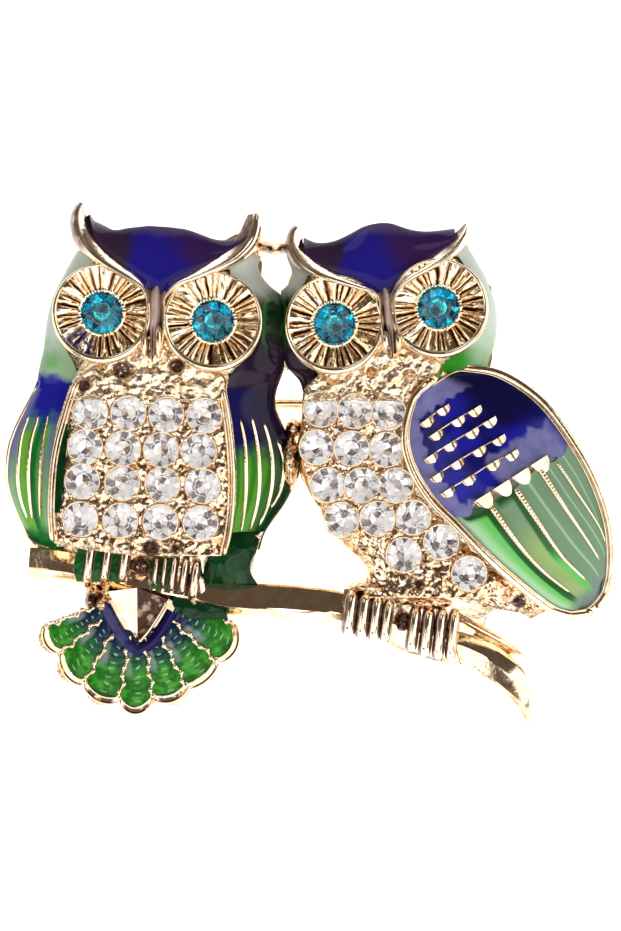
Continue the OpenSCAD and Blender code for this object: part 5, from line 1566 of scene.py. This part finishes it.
# %% Green vanes
VANE_LINES = [
    [[490, 505], [502, 522], [515, 540], [529, 557], [545, 573], [568, 591], [583, 602]],
    [[515, 488], [527, 506], [540, 525], [552, 543], [565, 560], [588, 582], [597, 592]],
    [[539, 467], [549, 483], [560, 500], [572, 518], [585, 537], [601, 562], [606, 574]],
    [[556, 461], [566, 475], [577, 492], [588, 508], [600, 527], [606, 541], [608, 556]]]
VANE_RODS = (0.27, 0.27, 0.25, 0.14)     # half the thickness of each gold line
TAPER = 0.63                             # the share of it that is lost towards the tip
VANE_END = 0.88                          # the gold lines stop short of the strips' ends


def border_line(side, share):
    """The border of the green field, from the scallops to the tip."""
    steps = [divide(share), *(row[0] for row in WING[6:1:-1]), -.93, -.965]
    room = (1 - 2 * side) * INSET / WING_SIDE
    return [list(wing_place(a, smooth(WING, a)[side] + room)) for a in steps]


def strip_of_vane(k):
    edges = [border_line(0, 0.0), *VANE_LINES, border_line(1, 1.0)]
    near, far = line(edges[k]), line(edges[k + 1])

    def place(s, t):
        a, b = near(t), far(t)
        x, y = mix(a[0], b[0], s), mix(a[1], b[1], s)
        return at(x, y, wing_height(x, y) - 0.16 * arch(s) * arch(t, 0.5))

    return numbered(patch(16, 50, place, base=POURED), k)


vanes = [strip_of_vane(k) for k in range(len(VANE_LINES) + 1)]
vanes.append(numbered(wing_field(-1.0, divide, INSET - 1, -0.26, 50, 60, base=POURED), len(vanes)))
piece("right_wing_green", vanes, vane_green, ["right_wing_green_enamel"])


# %% [markdown]
# The rims, scallops, half-moons and vane lines are gold that stands above the enamel.

# %% Wing metal
def wing_outline(inset):
    """Points round the wing at this inset; the ring starts and ends half way up the low side."""
    room = inset / WING_SIDE
    steps = [inset / WING_HALF - 0.99, -.93, *(row[0] for row in WING[2:-1])]
    low = [wing_place(a, smooth(WING, a)[0] + room) for a in steps]
    outer = [wing_place(a, smooth(WING, a)[1] - room) for a in reversed(steps)]
    tip, top = wing_place(-1.03 + inset / WING_HALF, 0.09), wing_place(0.985 - inset / WING_HALF, -0.02)
    half = len(steps) // 2
    return [*low[half:], top, *outer, tip, *low[:half + 1]]


HALF_MOONS = [  # rows of the middles of their straight sides
    [[426, 420], [442, 408]], [[435, 433], [457, 419], [474, 409]],
    [[430, 456], [449, 444], [471, 431], [489, 420]], [[436, 475], [456, 462], [478, 449], [498, 438]],
    [[447, 490], [468, 478], [492, 463], [511, 453]]]
MOON_HALF, MOON_DEEP = 8.5, 8.0


def half_moon(x, y):
    """A small half-disc that leans: it stands highest along its straight side."""
    def place(s, t):
        c = (s - 0.5) * 1.94
        drop = MOON_DEEP * t * math.sqrt(max(1 - c * c, 0.03))
        px, py = (v + c * MOON_HALF * side - drop * way for v, side, way in zip((x, y), ACROSS, ALONG))
        return at(px, py, wing_height(px, py) + 0.05 + (0.34 * (1 - t) + 0.05) * arch(0.1 + 0.8 * s, 0.5))

    return patch(12, 8, place, base=under(0.6))


metal = [rod(wing_outline(2.2), 0.33, wing_height, 0.08, 260, 16, flat=0.5, closed=True),
         rod(wing_outline(6.7), 0.06, wing_height, 0.06, 260, 8, closed=True)]
metal += [half_moon(*spot) for row in HALF_MOONS for spot in row]
metal += [rod(row, 0.06, wing_height, 0.02, 40, 6) for row in HALF_MOONS]
for points, thick in zip(VANE_LINES, VANE_RODS):
    path = line(points)
    short = [path(VANE_END * i / 8) for i in range(9)]
    metal.append(rod(short, lambda t: thick * (1 - TAPER * t), wing_height, 0.0, 160, 8,
                     beads=30, swell=0.03))


def scallop(k):
    """One gold lobe on the line between blue and green."""
    def place(s, t):
        share = (k + mix(0.04, 0.96, s)) / LOBES
        a = mix(DIVIDE + 0.012, divide(share) - 0.03 * arch(s), t)
        low, outer = smooth(WING, a)
        x, y = wing_place(a, mix(low + INSET / WING_SIDE, outer - INSET / WING_SIDE, share))
        return at(x, y, wing_height(x, y) + 0.05 + (0.40 * (1 - t) + 0.06) * arch(0.08 + 0.84 * s, 0.5))

    return patch(14, 10, place, base=under(0.6))


metal += [scallop(k) for k in range(1, LOBES - 1)]
piece("wing_metal", metal, polished_gold)

# %% [markdown]
# Under the wing the right owl ends in a short strip of rough metal.

# %% Short tail
SHORT_TAIL = [
    [582, 452, 548], [590, 453, 554], [598, 458, 556], [604, 470, 554], [609, 492, 548], [613, 520, 544]]


def short_tail_height(x, y, s, t):
    return 2.7 - 0.5 * t + rough(at(x, y), 0.45, 0.18)


piece("short_tail", [field(SHORT_TAIL, short_tail_height, 60, 24)], grained_gold, angle=180)

# %% [markdown]
# The pin, its hinge and its catch keep their CAD shapes and only get the gold.

# %% Findings
for name in ("pin_stem", "hinge_bracket", "hinge_rivet", "catch"):
    node = frame["nodes"][name]
    node.data.materials.clear()
    node.data.materials.append(polished_gold)
